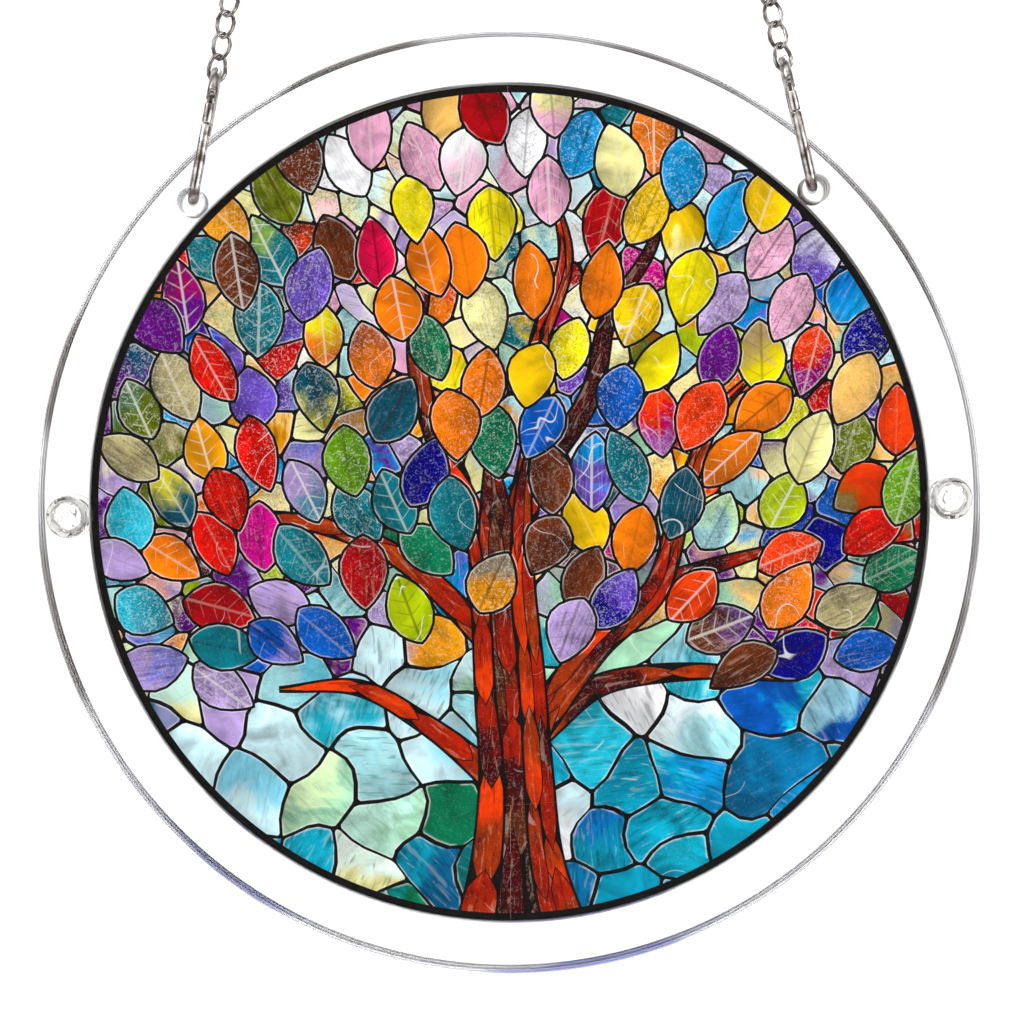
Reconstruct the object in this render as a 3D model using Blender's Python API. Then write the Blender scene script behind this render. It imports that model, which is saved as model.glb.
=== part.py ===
"""A round acrylic puzzle suncatcher that hangs on a chain.

Three clear sheets make a flat case: a front panel, a border ring and a back panel, held by two clear rivets.
An interlocking puzzle lies in the case. Two wire hooks with sprung gates pass through the case near its top,
and a twisted chain runs from hook to hook over the point that it hangs from.

Metres, +Z up, seen from -Y. The origin is the middle link of the chain, where the piece hangs.
"""

import math

import bmesh
import bpy
from mathutils import Matrix, Vector
from mathutils.geometry import tessellate_polygon

MM = 0.001

# Case
FRONT_PANEL_THICKNESS = 2.8 * MM
BACK_PANEL_THICKNESS = 2.8 * MM
PUZZLE_THICKNESS = 2.8 * MM
SHEET_GAP = 0.3 * MM
CASE_SIDES = 60
BORE_SIDES = 10

# Puzzle
PUZZLE_RADIUS = 88.8 * MM
PUZZLE_CLEARANCE = 0.4 * MM
PUZZLE_KERF = 0.3 * MM
CENTRE_PIECE_RADIUS = 14.5 * MM
PIECES_IN_RINGS = (6, 12, 18)
RING_TURNS_DEG = (0.0, -6.0, -11.0)
RIM_STEPS = 3
KNOB_NECK = 3.0 * MM
KNOB_WIDTH = 5.7 * MM
KNOB_HEIGHT = 5.0 * MM
KNOB_WIDEST_SHARE = 0.55
LEAST_MITRE = 0.4
TRUNK_TOP_SHARE = 0.1
TRUNK_HALF_SHARE = 0.2
WATER_LINE_SHARE = -0.35

# Rivets
RIVET_SHANK_RADIUS = 2.3 * MM
RIVET_OUTER_WALL = 4.0 * MM
RIVET_CLEARANCE = 0.3 * MM
RIVET_FLANGE_RADIUS = 4.5 * MM
RIVET_FLANGE_THICKNESS = 0.8 * MM
RIVET_DOME_RADIUS = 3.4 * MM
RIVET_DOME_HEIGHT = 1.7 * MM
RIVET_SEAT_GAP = 0.3 * MM
RIVET_SIDES = 12

# Hanging holes
HOLE_ANGLE_DEG = 45.0
HOLE_RADIUS = 2.75 * MM
HOLE_OUTER_WALL = 4.25 * MM
HOLE_INNER_WALL = 1.05 * MM

# Hooks
HOOK_WIRE_RADIUS = 1.1 * MM
HOOK_LENGTH = 29.7 * MM
HOOK_CASE_CLEARANCE = 0.7 * MM
HOOK_HOLE_GAP = 0.3 * MM
HOOK_TURN_DEG = 8.0
HOOK_TURN_DROP = 0.4 * MM
HOOK_CORNER_RADIUS = 3.0 * MM
HOOK_SIDES = 8
HOOK_BEND_STEPS = 8
HOOK_CORNER_STEPS = 3
HOOK_LEG_ABOVE_CHEEKS = 0.35 * MM
GATE_LENGTH = 6.7 * MM
GATE_GAP = 0.3 * MM
GATE_TONGUE_THICKNESS = 0.7 * MM
GATE_TONGUE_RADIUS = 0.95 * MM
GATE_SIDE_GAP = 0.3 * MM
GATE_TOP_GAP = 0.45 * MM
GATE_TONGUE_OVERLAP = 0.8 * MM
GATE_PIN_RADIUS = 0.4 * MM
GATE_PIN_CLEARANCE = 0.3 * MM
GATE_PIN_SHARE_IN_CHEEKS = 0.6
HOOK_CHEEK_LENGTH = 0.9 * MM
GATE_SHOULDER = 1.6 * MM

# Chain
LINKS_PER_SIDE = 60
LINK_LENGTH = 6.5 * MM
LINK_WIDTH = 4.4 * MM
LINK_WIRE = 0.9 * MM
LINK_END_WIDTH = 2.9 * MM
LINK_TWIST_DEG = 45.0
LINK_CONTACT = 0.1 * MM
LINK_CORNER_SHARE = 0.7
LINK_GAP = 0.3 * MM

SMOOTH_ANGLE_DEG = 35.0
SAME_PLACE = 1e-6

CLEAR_ACRYLIC = (0.93, 0.95, 0.93, 1.0)
CLEAR_PLASTIC = (0.90, 0.92, 0.92, 1.0)
BRIGHT_STEEL = (0.62, 0.62, 0.63, 1.0)
BARK = (0.12, 0.02, 0.015, 1.0)
LEAF_COLOURS = (
    (0.72, 0.03, 0.02, 1.0),
    (0.85, 0.24, 0.01, 1.0),
    (0.82, 0.60, 0.03, 1.0),
    (0.10, 0.35, 0.02, 1.0),
    (0.00, 0.28, 0.26, 1.0),
    (0.02, 0.12, 0.50, 1.0),
    (0.22, 0.05, 0.36, 1.0),
)
LOWER_COLOURS = (
    (0.00, 0.25, 0.36, 1.0),
    (0.36, 0.62, 0.58, 1.0),
    (0.02, 0.20, 0.45, 1.0),
)

# The clear border is as wide as the hanging holes and the walls beside them
WINDOW_RADIUS = PUZZLE_RADIUS + PUZZLE_CLEARANCE
CASE_RADIUS = WINDOW_RADIUS + HOLE_INNER_WALL + 2 * HOLE_RADIUS + HOLE_OUTER_WALL
HOLE_CIRCLE_RADIUS = CASE_RADIUS - HOLE_OUTER_WALL - HOLE_RADIUS
RIVET_BORE_RADIUS = RIVET_SHANK_RADIUS + RIVET_CLEARANCE
RIVET_CIRCLE_RADIUS = CASE_RADIUS - RIVET_OUTER_WALL - RIVET_BORE_RADIUS
RING_WIDTH = (PUZZLE_RADIUS - CENTRE_PIECE_RADIUS) / len(PIECES_IN_RINGS)

# Places along Y: the front of the case faces -Y
CASE_DEPTH = FRONT_PANEL_THICKNESS + PUZZLE_THICKNESS + BACK_PANEL_THICKNESS + 2 * SHEET_GAP
FRONT_FACE = -CASE_DEPTH / 2
RING_FRONT = FRONT_FACE + FRONT_PANEL_THICKNESS + SHEET_GAP
BACK_PANEL_FRONT = RING_FRONT + PUZZLE_THICKNESS + SHEET_GAP
BACK_FACE = CASE_DEPTH / 2

# The hook's wire centreline lies in the plane of Y and its own lean: round above, and with two tight
# corners below. The inner side of these corners bears on the upper edges of the hole. Each hook is turned a little
# about its own length, so it hangs that much lower in the round hole.
HOOK_BEND_RADIUS = CASE_DEPTH / 2 + HOOK_CASE_CLEARANCE + HOOK_WIRE_RADIUS
HOOK_SPAN = HOOK_LENGTH - 2 * HOOK_WIRE_RADIUS
HOOK_INNER_CORNER = HOOK_CORNER_RADIUS - HOOK_WIRE_RADIUS
HOOK_CORNER_REACH = HOOK_INNER_CORNER - HOOK_CASE_CLEARANCE
HOOK_EDGE_RISE = HOOK_CORNER_RADIUS - math.sqrt(HOOK_INNER_CORNER**2 - HOOK_CORNER_REACH**2)
HOOK_LIFT = HOLE_RADIUS - HOOK_EDGE_RISE - HOOK_HOLE_GAP - HOOK_TURN_DROP
CHEEK_ENDS = HOOK_SPAN - HOOK_BEND_RADIUS - HOOK_LEG_ABOVE_CHEEKS
GATE_PIN_HEIGHT = CHEEK_ENDS + HOOK_CHEEK_LENGTH
NOSE_END = GATE_PIN_HEIGHT + GATE_TONGUE_RADIUS - GATE_LENGTH - GATE_GAP

# The chain's links follow one another by a pitch, from the hook to the middle link
LINK_HALF = LINK_LENGTH / 2 - LINK_WIRE / 2
LINK_INNER_HALF = LINK_LENGTH / 2 - LINK_WIRE
LINK_PITCH = 2 * LINK_INNER_HALF - LINK_CONTACT
FIRST_LINK = HOOK_SPAN + LINK_INNER_HALF - HOOK_WIRE_RADIUS - LINK_GAP
LAST_LINK = FIRST_LINK + (LINKS_PER_SIDE - 1) * LINK_PITCH
SLANT = HOOK_LIFT + LAST_LINK + LINK_INNER_HALF - LINK_WIRE / 2 - LINK_GAP
HOLE_X = HOLE_CIRCLE_RADIUS * math.sin(math.radians(HOLE_ANGLE_DEG))
HOLE_RISE = HOLE_CIRCLE_RADIUS * math.cos(math.radians(HOLE_ANGLE_DEG))
LEAN = math.asin((HOLE_X - LINK_HALF) / SLANT)
CASE_CENTRE_Z = -(HOLE_RISE + SLANT * math.cos(LEAN))


def material(name, colour, roughness, metallic=0.0, transmission=0.0):
    mat = bpy.data.materials.new(name)
    mat.use_nodes = True
    shader = mat.node_tree.nodes["Principled BSDF"]
    shader.inputs["Base Color"].default_value = colour
    shader.inputs["Roughness"].default_value = roughness
    shader.inputs["Metallic"].default_value = metallic
    shader.inputs["Transmission Weight"].default_value = transmission
    return mat


def add_object(name, bm, mat=None, smooth=True):
    """Put a bmesh into the scene as one named object."""
    bmesh.ops.recalc_face_normals(bm, faces=bm.faces)
    mesh = bpy.data.meshes.new(name)
    bm.to_mesh(mesh)
    bm.free()
    if smooth:
        mesh.shade_smooth()
        mesh.set_sharp_from_angle(angle=math.radians(SMOOTH_ANGLE_DEG))
    obj = bpy.data.objects.new(name, mesh)
    bpy.context.scene.collection.objects.link(obj)
    if mat is not None:
        mesh.materials.append(mat)
    return obj


def boolean(obj, cutter, operation):
    """Let a hidden tool object cut into, or join onto, an object."""
    modifier = obj.modifiers.new(cutter.name, "BOOLEAN")
    modifier.operation = operation
    modifier.object = cutter
    modifier.solver = "EXACT"
    cutter.hide_render = True
    cutter.display_type = "WIRE"


def cylinder_bmesh(radius, length, sides, axis="Y"):
    """A closed cylinder about the origin, along the named axis."""
    bm = bmesh.new()
    bmesh.ops.create_cone(
        bm, cap_ends=True, segments=sides, radius1=radius, radius2=radius, depth=length
    )
    turn = {"Y": Matrix.Rotation(math.pi / 2, 4, "X"), "X": Matrix.Rotation(math.pi / 2, 4, "Y")}
    bmesh.ops.transform(bm, matrix=turn[axis], verts=bm.verts)
    return bm


def sheet_disc(name, front, thickness, mat):
    """One round clear sheet of the case, lying across Y."""
    disc = add_object(name, cylinder_bmesh(CASE_RADIUS, thickness, CASE_SIDES), mat)
    disc.location = (0, front + thickness / 2, CASE_CENTRE_Z)
    return disc


def case_bore(name, radius, x, rise):
    """A cutter right through the case."""
    bore = add_object(name, cylinder_bmesh(radius, 2 * CASE_DEPTH, BORE_SIDES), smooth=False)
    bore.location = (x, 0, CASE_CENTRE_Z + rise)
    return bore


def build_case():
    """Front panel, border ring and back panel, with the holes for the hooks and the rivets."""
    bores = []
    for side, x_sign in (("left", -1), ("right", 1)):
        bores.append(case_bore(f"cut_hole_{side}", HOLE_RADIUS, x_sign * HOLE_X, HOLE_RISE))
        bores.append(case_bore(f"cut_rivet_{side}", RIVET_BORE_RADIUS, x_sign * RIVET_CIRCLE_RADIUS, 0))
    window = add_object(
        "cut_window", cylinder_bmesh(WINDOW_RADIUS, 2 * PUZZLE_THICKNESS, CASE_SIDES), smooth=False
    )
    window.location = (0, RING_FRONT + PUZZLE_THICKNESS / 2, CASE_CENTRE_Z)
    sheets = (
        ("front_panel", FRONT_FACE, FRONT_PANEL_THICKNESS),
        ("border_ring", RING_FRONT, PUZZLE_THICKNESS),
        ("back_panel", BACK_PANEL_FRONT, BACK_PANEL_THICKNESS),
    )
    for name, front, thickness in sheets:
        mat = material(f"{name}_acrylic", CLEAR_ACRYLIC, 0.04, transmission=1.0)
        sheet = sheet_disc(name, front, thickness, mat)
        for bore in bores:
            boolean(sheet, bore, "DIFFERENCE")
        if name == "border_ring":
            boolean(sheet, window, "DIFFERENCE")


def polar(radius, angle):
    return Vector((radius * math.cos(angle), radius * math.sin(angle)))


def knob_points(middle, along, outward):
    """The tab of a jigsaw piece, on a narrow neck: five points about the middle of an edge."""
    neck, head = 0.5 * KNOB_NECK, 0.5 * KNOB_WIDTH
    widest = KNOB_WIDEST_SHARE * KNOB_HEIGHT
    shape = ((-neck, 0.0), (-head, widest), (0.0, KNOB_HEIGHT), (head, widest), (neck, 0.0))
    return [middle + along * x + outward * y for x, y in shape]


def ring_curve(radius, count, turn_deg, t_angles, knobs):
    """A cut round the puzzle: its points in order, and where each corner angle is among them.

    One knob stands at the middle of each of the count sectors, alternately outward and inward.
    """
    step = 2 * math.pi / count
    turn = math.radians(turn_deg)
    points, corners = [], []
    for k in range(count):
        start = turn + k * step
        middle = start + step / 2
        inside = [a for t in t_angles for a in (t - 2 * math.pi, t, t + 2 * math.pi)]
        inside = [a for a in inside if start + SAME_PLACE < a < start + step - SAME_PLACE]
        for angle in [start] + sorted(a for a in inside if a < middle):
            corners.append((angle, len(points)))
            points.append(polar(radius, angle))
        if knobs:
            outward = polar(1.0, middle) * (1 if k % 2 else -1)
            along = polar(1.0, middle + math.pi / 2)
            points.extend(knob_points(polar(radius, middle), along, outward))
        else:
            for s in range(1, RIM_STEPS):
                points.append(polar(radius, start + step * s / RIM_STEPS))
        for angle in sorted(a for a in inside if a >= middle):
            corners.append((angle, len(points)))
            points.append(polar(radius, angle))
    return points, corners


def between(curve, start, end):
    """The points of a ring curve from one corner angle on to the next one given, both included."""
    points, corners = curve

    def place(angle):
        def distance(corner):
            return abs(math.remainder(corner[0] - angle, 2 * math.pi))

        return min(corners, key=distance)[1]

    first, last = place(start), place(end)
    if last <= first:
        last += len(points)
    return [points[i % len(points)] for i in range(first, last + 1)]


def spoke(angle, inner_radius, outer_radius, direction):
    """The knob points of a cut that runs outward between two pieces of one ring."""
    middle = polar((inner_radius + outer_radius) / 2, angle)
    return knob_points(middle, polar(1.0, angle), polar(1.0, angle + math.pi / 2) * direction)


def shrink(outline, distance):
    """Move each edge of an anticlockwise outline inward, so that neighbours keep a kerf."""
    result = []
    count = len(outline)
    for i in range(count):
        before = (outline[i] - outline[i - 1]).normalized()
        after = (outline[(i + 1) % count] - outline[i]).normalized()
        normal = Vector((-before.y - after.y, before.x + after.x))
        normal.normalize()
        spread = max(LEAST_MITRE, normal.dot(Vector((-before.y, before.x))))
        result.append(outline[i] + normal * (distance / spread))
    return result


def outline_area(outline):
    return 0.5 * sum(a.x * b.y - a.y * b.x for a, b in zip(outline, outline[1:] + outline[:1]))


def puzzle_outlines():
    """The outlines of all pieces, from the centre outward, in the plane of X and Z."""
    radii = [CENTRE_PIECE_RADIUS + k * RING_WIDTH for k in range(len(PIECES_IN_RINGS) + 1)]
    spokes = []
    for count, turn_deg in zip(PIECES_IN_RINGS, RING_TURNS_DEG):
        spokes.append([math.radians(turn_deg) + 2 * math.pi * k / count for k in range(count)])
    curves = []
    for ring, (count, turn_deg) in enumerate(zip(PIECES_IN_RINGS, RING_TURNS_DEG)):
        inner_spokes = spokes[ring - 1] if ring else []
        curves.append(ring_curve(radii[ring], count, turn_deg, inner_spokes, knobs=True))
    curves.append(ring_curve(radii[-1], PIECES_IN_RINGS[-1], RING_TURNS_DEG[-1], [], knobs=False))
    outlines = [list(curves[0][0])]
    for ring, angles in enumerate(spokes):
        count = len(angles)
        for k in range(count):
            start, end = angles[k], angles[(k + 1) % count]
            inner = between(curves[ring], start, end)
            outer = between(curves[ring + 1], start, end)
            up = spoke(end, radii[ring], radii[ring + 1], 1 if (k + 1) % count % 2 else -1)
            down = spoke(start, radii[ring], radii[ring + 1], 1 if k % 2 else -1)
            outlines.append(outer + list(reversed(up)) + list(reversed(inner)) + down)
    return outlines


def piece_colour(outline, number):
    """Bark near the foot of the picture's middle, water colours below, leaf colours above."""
    middle = sum(outline, Vector((0, 0))) / len(outline)
    if middle.y < TRUNK_TOP_SHARE * PUZZLE_RADIUS and abs(middle.x) < TRUNK_HALF_SHARE * PUZZLE_RADIUS:
        return BARK
    colours = LOWER_COLOURS if middle.y < WATER_LINE_SHARE * PUZZLE_RADIUS else LEAF_COLOURS
    return colours[number % len(colours)]


def build_puzzle():
    """Interlocking pieces, each a prism of its cut outline."""
    for number, outline in enumerate(puzzle_outlines(), start=1):
        if outline_area(outline) < 0:
            outline.reverse()
        cut = shrink(outline, PUZZLE_KERF / 2)
        bm = bmesh.new()
        front = [bm.verts.new((p.x, 0, p.y)) for p in cut]
        back = [bm.verts.new((p.x, PUZZLE_THICKNESS, p.y)) for p in cut]
        count = len(cut)
        for a, b, c in tessellate_polygon([[p.to_3d() for p in cut]]):
            bm.faces.new((front[a], front[b], front[c]))
            bm.faces.new((back[c], back[b], back[a]))
        for i in range(count):
            j = (i + 1) % count
            bm.faces.new((front[i], front[j], back[j], back[i]))
        name = f"puzzle_piece_{number:02d}"
        colour = piece_colour(outline, number)
        piece = add_object(name, bm, material(f"{name}_glass", colour, 0.15), smooth=False)
        piece.location = (0, RING_FRONT, CASE_CENTRE_Z)


def rivet_profile():
    """Half of the rivet's turned outline, from its back tip to its front tip: (place along Y, radius)."""
    seat_back = BACK_FACE + RIVET_SEAT_GAP
    seat_front = FRONT_FACE - RIVET_SEAT_GAP
    dome = []
    for angle_deg in (0, 45):
        angle = math.radians(angle_deg)
        dome.append((RIVET_DOME_HEIGHT * math.sin(angle), RIVET_DOME_RADIUS * math.cos(angle)))
    back_top = seat_back + RIVET_FLANGE_THICKNESS
    front_top = seat_front - RIVET_FLANGE_THICKNESS
    profile = [(back_top + RIVET_DOME_HEIGHT, 0.0)]
    profile += [(back_top + rise, radius) for rise, radius in reversed(dome)]
    profile += [(back_top, RIVET_FLANGE_RADIUS), (seat_back, RIVET_FLANGE_RADIUS)]
    profile += [(seat_back, RIVET_SHANK_RADIUS), (seat_front, RIVET_SHANK_RADIUS)]
    profile += [(seat_front, RIVET_FLANGE_RADIUS), (front_top, RIVET_FLANGE_RADIUS)]
    profile += [(front_top - rise, radius) for rise, radius in dome]
    profile.append((front_top - RIVET_DOME_HEIGHT, 0.0))
    return profile


def build_rivets():
    """Two clear rivets, turned about Y, with a domed and flanged head on each side of the case."""
    for side, x_sign in (("left", -1), ("right", 1)):
        bm = bmesh.new()
        verts = [bm.verts.new((radius, y, 0)) for y, radius in rivet_profile()]
        edges = [bm.edges.new(pair) for pair in zip(verts, verts[1:])]
        bmesh.ops.spin(
            bm,
            geom=verts + edges,
            cent=(0, 0, 0),
            axis=(0, 1, 0),
            angle=2 * math.pi,
            steps=RIVET_SIDES,
            use_merge=True,
        )
        bmesh.ops.remove_doubles(bm, verts=bm.verts, dist=SAME_PLACE)
        mat = material(f"rivet_{side}_plastic", CLEAR_PLASTIC, 0.08, transmission=1.0)
        rivet = add_object(f"rivet_{side}", bm, mat)
        rivet.location = (x_sign * RIVET_CIRCLE_RADIUS, 0, CASE_CENTRE_Z)


def hook_path():
    """The wire's centreline (place along Y, height) from the nose, under, behind and over to the hinge."""
    radius = HOOK_BEND_RADIUS
    corner = HOOK_CORNER_RADIUS
    path = [(-radius, NOSE_END)]
    for side in (-1, 1):
        for k in range(HOOK_CORNER_STEPS + 1):
            angle = math.pi / 2 * k / HOOK_CORNER_STEPS
            out = math.cos(angle) if side < 0 else math.sin(angle)
            down = math.sin(angle) if side < 0 else math.cos(angle)
            path.append((side * (radius - corner + corner * out), corner - corner * down))
    for k in range(HOOK_BEND_STEPS + 1):
        angle = math.pi * k / HOOK_BEND_STEPS
        path.append((radius * math.cos(angle), HOOK_SPAN - radius + radius * math.sin(angle)))
    path.append((-radius, CHEEK_ENDS))
    return path


def wire_bmesh(path, radius, sides):
    """A round wire along a path in the plane of Y and Z, closed by flat ends."""
    bm = bmesh.new()
    rings = []
    for i, (y, z) in enumerate(path):
        before = Vector(path[max(i - 1, 0)])
        after = Vector(path[min(i + 1, len(path) - 1)])
        along = (after - before).normalized()
        across = Vector((0, -along.y, along.x))
        ring = []
        for s in range(sides):
            angle = 2 * math.pi * (s + 0.5) / sides
            offset = Vector((radius * math.cos(angle), 0, 0)) + across * (radius * math.sin(angle))
            ring.append(bm.verts.new(Vector((0, y, z)) + offset))
        rings.append(ring)
    for ring, following in zip(rings, rings[1:]):
        for s in range(sides):
            t = (s + 1) % sides
            bm.faces.new((ring[s], ring[t], following[t], following[s]))
    bm.faces.new(rings[0])
    bm.faces.new(rings[-1])
    return bm


def box_bmesh(size, centre):
    bm = bmesh.new()
    bmesh.ops.create_cube(bm, size=1.0)
    bmesh.ops.scale(bm, vec=size, verts=bm.verts)
    bmesh.ops.translate(bm, vec=centre, verts=bm.verts)
    return bm


def place_hook_piece(obj, x_sign, place=(0, 0, 0), turn_deg=HOOK_TURN_DEG):
    """Stand a piece at its place in the hook, leaning and turned as the hook is."""
    foot = Vector((x_sign * HOLE_X, 0, CASE_CENTRE_Z + HOLE_RISE))
    turn = Matrix.Rotation(-x_sign * LEAN, 3, "Y") @ Matrix.Rotation(-x_sign * math.radians(turn_deg), 3, "Z")
    obj.location = foot + turn @ (Vector((0, 0, HOOK_LIFT)) + Vector(place))
    obj.rotation_euler = turn.to_euler()


def build_hooks():
    """Long oval wire hooks. Each has a sprung gate on a cross pin, which swings inward."""
    pin_y = -HOOK_BEND_RADIUS
    slot_width = GATE_TONGUE_THICKNESS + 2 * GATE_SIDE_GAP
    slot_top = GATE_TONGUE_RADIUS + GATE_TOP_GAP
    slot_bottom = HOOK_CHEEK_LENGTH + GATE_GAP
    wire = 2 * HOOK_WIRE_RADIUS
    for side, x_sign in (("left", -1), ("right", 1)):
        mat = material(f"hook_{side}_steel", BRIGHT_STEEL, 0.2, metallic=1.0)
        hook = add_object(f"hook_{side}", wire_bmesh(hook_path(), HOOK_WIRE_RADIUS, HOOK_SIDES), mat)
        place_hook_piece(hook, x_sign)
        slot_centre = (0, pin_y, GATE_PIN_HEIGHT + (slot_top - slot_bottom) / 2)
        slot_size = (slot_width, wire + 2 * HOOK_CASE_CLEARANCE, slot_top + slot_bottom)
        slot = add_object(f"cut_slot_{side}", box_bmesh(slot_size, slot_centre), smooth=False)
        place_hook_piece(slot, x_sign)
        boolean(hook, slot, "DIFFERENCE")
        pin_length = slot_width + GATE_PIN_SHARE_IN_CHEEKS * (wire - slot_width)
        pin_bm = cylinder_bmesh(GATE_PIN_RADIUS, pin_length, HOOK_SIDES, axis="X")
        bmesh.ops.translate(pin_bm, vec=(0, pin_y, GATE_PIN_HEIGHT), verts=pin_bm.verts)
        pin = add_object(f"join_pin_{side}", pin_bm, smooth=False)
        place_hook_piece(pin, x_sign)
        boolean(hook, pin, "UNION")
        build_gate(side, x_sign)


def build_gate(side, x_sign):
    """The gate: a round bar that narrows to a bored tongue. Its origin is on the pin's axis."""
    bar_top = -GATE_SHOULDER
    bar_bottom = NOSE_END + GATE_GAP - GATE_PIN_HEIGHT
    path = [(0, bar_bottom), (0, bar_top)]
    mat = material(f"hook_{side}_gate_steel", BRIGHT_STEEL, 0.2, metallic=1.0)
    gate = add_object(f"hook_{side}_gate", wire_bmesh(path, HOOK_WIRE_RADIUS, HOOK_SIDES), mat)
    tongue_size = (GATE_TONGUE_THICKNESS, 2 * GATE_TONGUE_RADIUS, GATE_SHOULDER + GATE_TONGUE_OVERLAP)
    tongue_centre = (0, 0, -(GATE_SHOULDER + GATE_TONGUE_OVERLAP) / 2)
    tongue_bm = box_bmesh(tongue_size, tongue_centre)
    round_bm = cylinder_bmesh(GATE_TONGUE_RADIUS, GATE_TONGUE_THICKNESS, HOOK_SIDES, axis="X")
    bore_radius = GATE_PIN_RADIUS + GATE_PIN_CLEARANCE
    bore_bm = cylinder_bmesh(bore_radius, 2 * HOOK_WIRE_RADIUS, HOOK_SIDES, axis="X")
    tools = (
        (f"join_tongue_{side}", tongue_bm, "UNION"),
        (f"join_round_{side}", round_bm, "UNION"),
        (f"cut_bore_{side}", bore_bm, "DIFFERENCE"),
    )
    for name, bm, operation in tools:
        tool = add_object(name, bm, smooth=False)
        tool.parent = gate
        boolean(gate, tool, operation)
    place_hook_piece(gate, x_sign, (0, -HOOK_BEND_RADIUS, GATE_PIN_HEIGHT))


def link_vertices(bottom, top):
    """Six rings of three points: a six-cornered link along Z, each end given as (half width, twist)."""
    half_width = (LINK_WIDTH - LINK_WIRE) / 2
    reach = LINK_WIRE / 2
    bottom_half, bottom_twist = bottom
    top_half, top_twist = top
    middle_twist = (bottom_twist + top_twist) / 2
    corners = (
        (top_half, LINK_HALF, top_twist, 1),
        (-top_half, LINK_HALF, top_twist, 1),
        (-half_width, 0.0, middle_twist, 0),
        (-bottom_half, -LINK_HALF, bottom_twist, -1),
        (bottom_half, -LINK_HALF, bottom_twist, -1),
        (half_width, 0.0, middle_twist, 0),
    )
    rings = []
    for x, z, twist, end in corners:
        side = math.copysign(1.0, x)
        turn = Matrix.Rotation(twist, 3, "Z")
        across = side * reach * (LINK_CORNER_SHARE if end else 1.0)
        inside = (x - across, z - end * reach)
        outside = (x + across, z + end * reach)
        section = ((inside[0], -reach, inside[1]), (inside[0], reach, inside[1]))
        rings.append([turn @ Vector(p) for p in section + ((outside[0], 0.0, outside[1]),)])
    return rings


def add_link(bm, bottom, top, place):
    """Add one link. Returns the inner faces of its top and bottom ends."""
    rings = [[bm.verts.new(place @ p) for p in ring] for ring in link_vertices(bottom, top)]
    ends = []
    for i, ring in enumerate(rings):
        following = rings[(i + 1) % len(rings)]
        for s in range(3):
            t = (s + 1) % 3
            face = bm.faces.new((ring[s], ring[t], following[t], following[s]))
            if s == 0 and i in (0, 3):
                ends.append(face)
    return ends


def join_faces(bm, upper, lower):
    """Join two facing quads of neighbouring links where they touch, corner to nearest corner."""
    first, second = list(upper.verts), list(reversed(lower.verts))
    bmesh.ops.delete(bm, geom=[upper, lower], context="FACES_ONLY")

    def reach(shift):
        return sum((first[i].co - second[(i + shift) % 4].co).length for i in range(4))

    shift = min(range(4), key=reach)
    matched = [second[(i + shift) % 4] for i in range(4)]
    for i in range(4):
        j = (i + 1) % 4
        bm.faces.new((first[i], first[j], matched[j], matched[i]))


def build_chain_side(side, x_sign):
    """One side of the chain, all links turned alike, from the hook up to the middle link."""
    twist = math.radians(LINK_TWIST_DEG)
    end_half = (LINK_END_WIDTH - LINK_WIRE) / 2
    hook_half = HOOK_WIRE_RADIUS + LINK_GAP + LINK_WIRE / 2
    hook_turn = -x_sign * math.radians(HOOK_TURN_DEG)
    bm = bmesh.new()
    previous_top = None
    for k in range(LINKS_PER_SIDE):
        first, last = k == 0, k == LINKS_PER_SIDE - 1
        bottom = (hook_half, hook_turn) if first else (end_half, -twist)
        top = (end_half, 0.0) if last else (end_half, twist)
        place = Matrix.Translation((0, 0, FIRST_LINK + k * LINK_PITCH))
        top_face, bottom_face = add_link(bm, bottom, top, place)
        if previous_top is not None:
            join_faces(bm, previous_top, bottom_face)
        previous_top = top_face
    mat = material(f"chain_{side}_steel", BRIGHT_STEEL, 0.25, metallic=1.0)
    chain = add_object(f"chain_{side}", bm, mat, smooth=False)
    place_hook_piece(chain, x_sign, turn_deg=0.0)


def build_middle_link():
    """The link that lies over the hanger, flat, with its long side along X."""
    end_half = (LINK_END_WIDTH - LINK_WIRE) / 2
    bm = bmesh.new()
    lie_flat = Matrix(((0, 0, 1, 0), (1, 0, 0, 0), (0, 1, 0, 0), (0, 0, 0, 1)))
    add_link(bm, (end_half, 0.0), (end_half, 0.0), lie_flat)
    mat = material("chain_middle_link_steel", BRIGHT_STEEL, 0.25, metallic=1.0)
    add_object("chain_middle_link", bm, mat, smooth=False)


def build_chain():
    for side, x_sign in (("left", -1), ("right", 1)):
        build_chain_side(side, x_sign)
    build_middle_link()


for old in list(bpy.data.objects):
    bpy.data.objects.remove(old, do_unlink=True)
build_case()
build_puzzle()
build_rivets()
build_hooks()
build_chain()
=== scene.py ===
# %% [markdown]
# # A round puzzle suncatcher
# This script dresses the finished solids of a round acrylic suncatcher. The solids come first, as a fixed frame:
# every fine piece below is placed from their boxes, so nothing is fitted by eye.

# %% Load the frame
import math
import random

import bmesh
import bpy
from mathutils import Matrix, Vector
from mathutils.geometry import delaunay_2d_cdt


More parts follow.
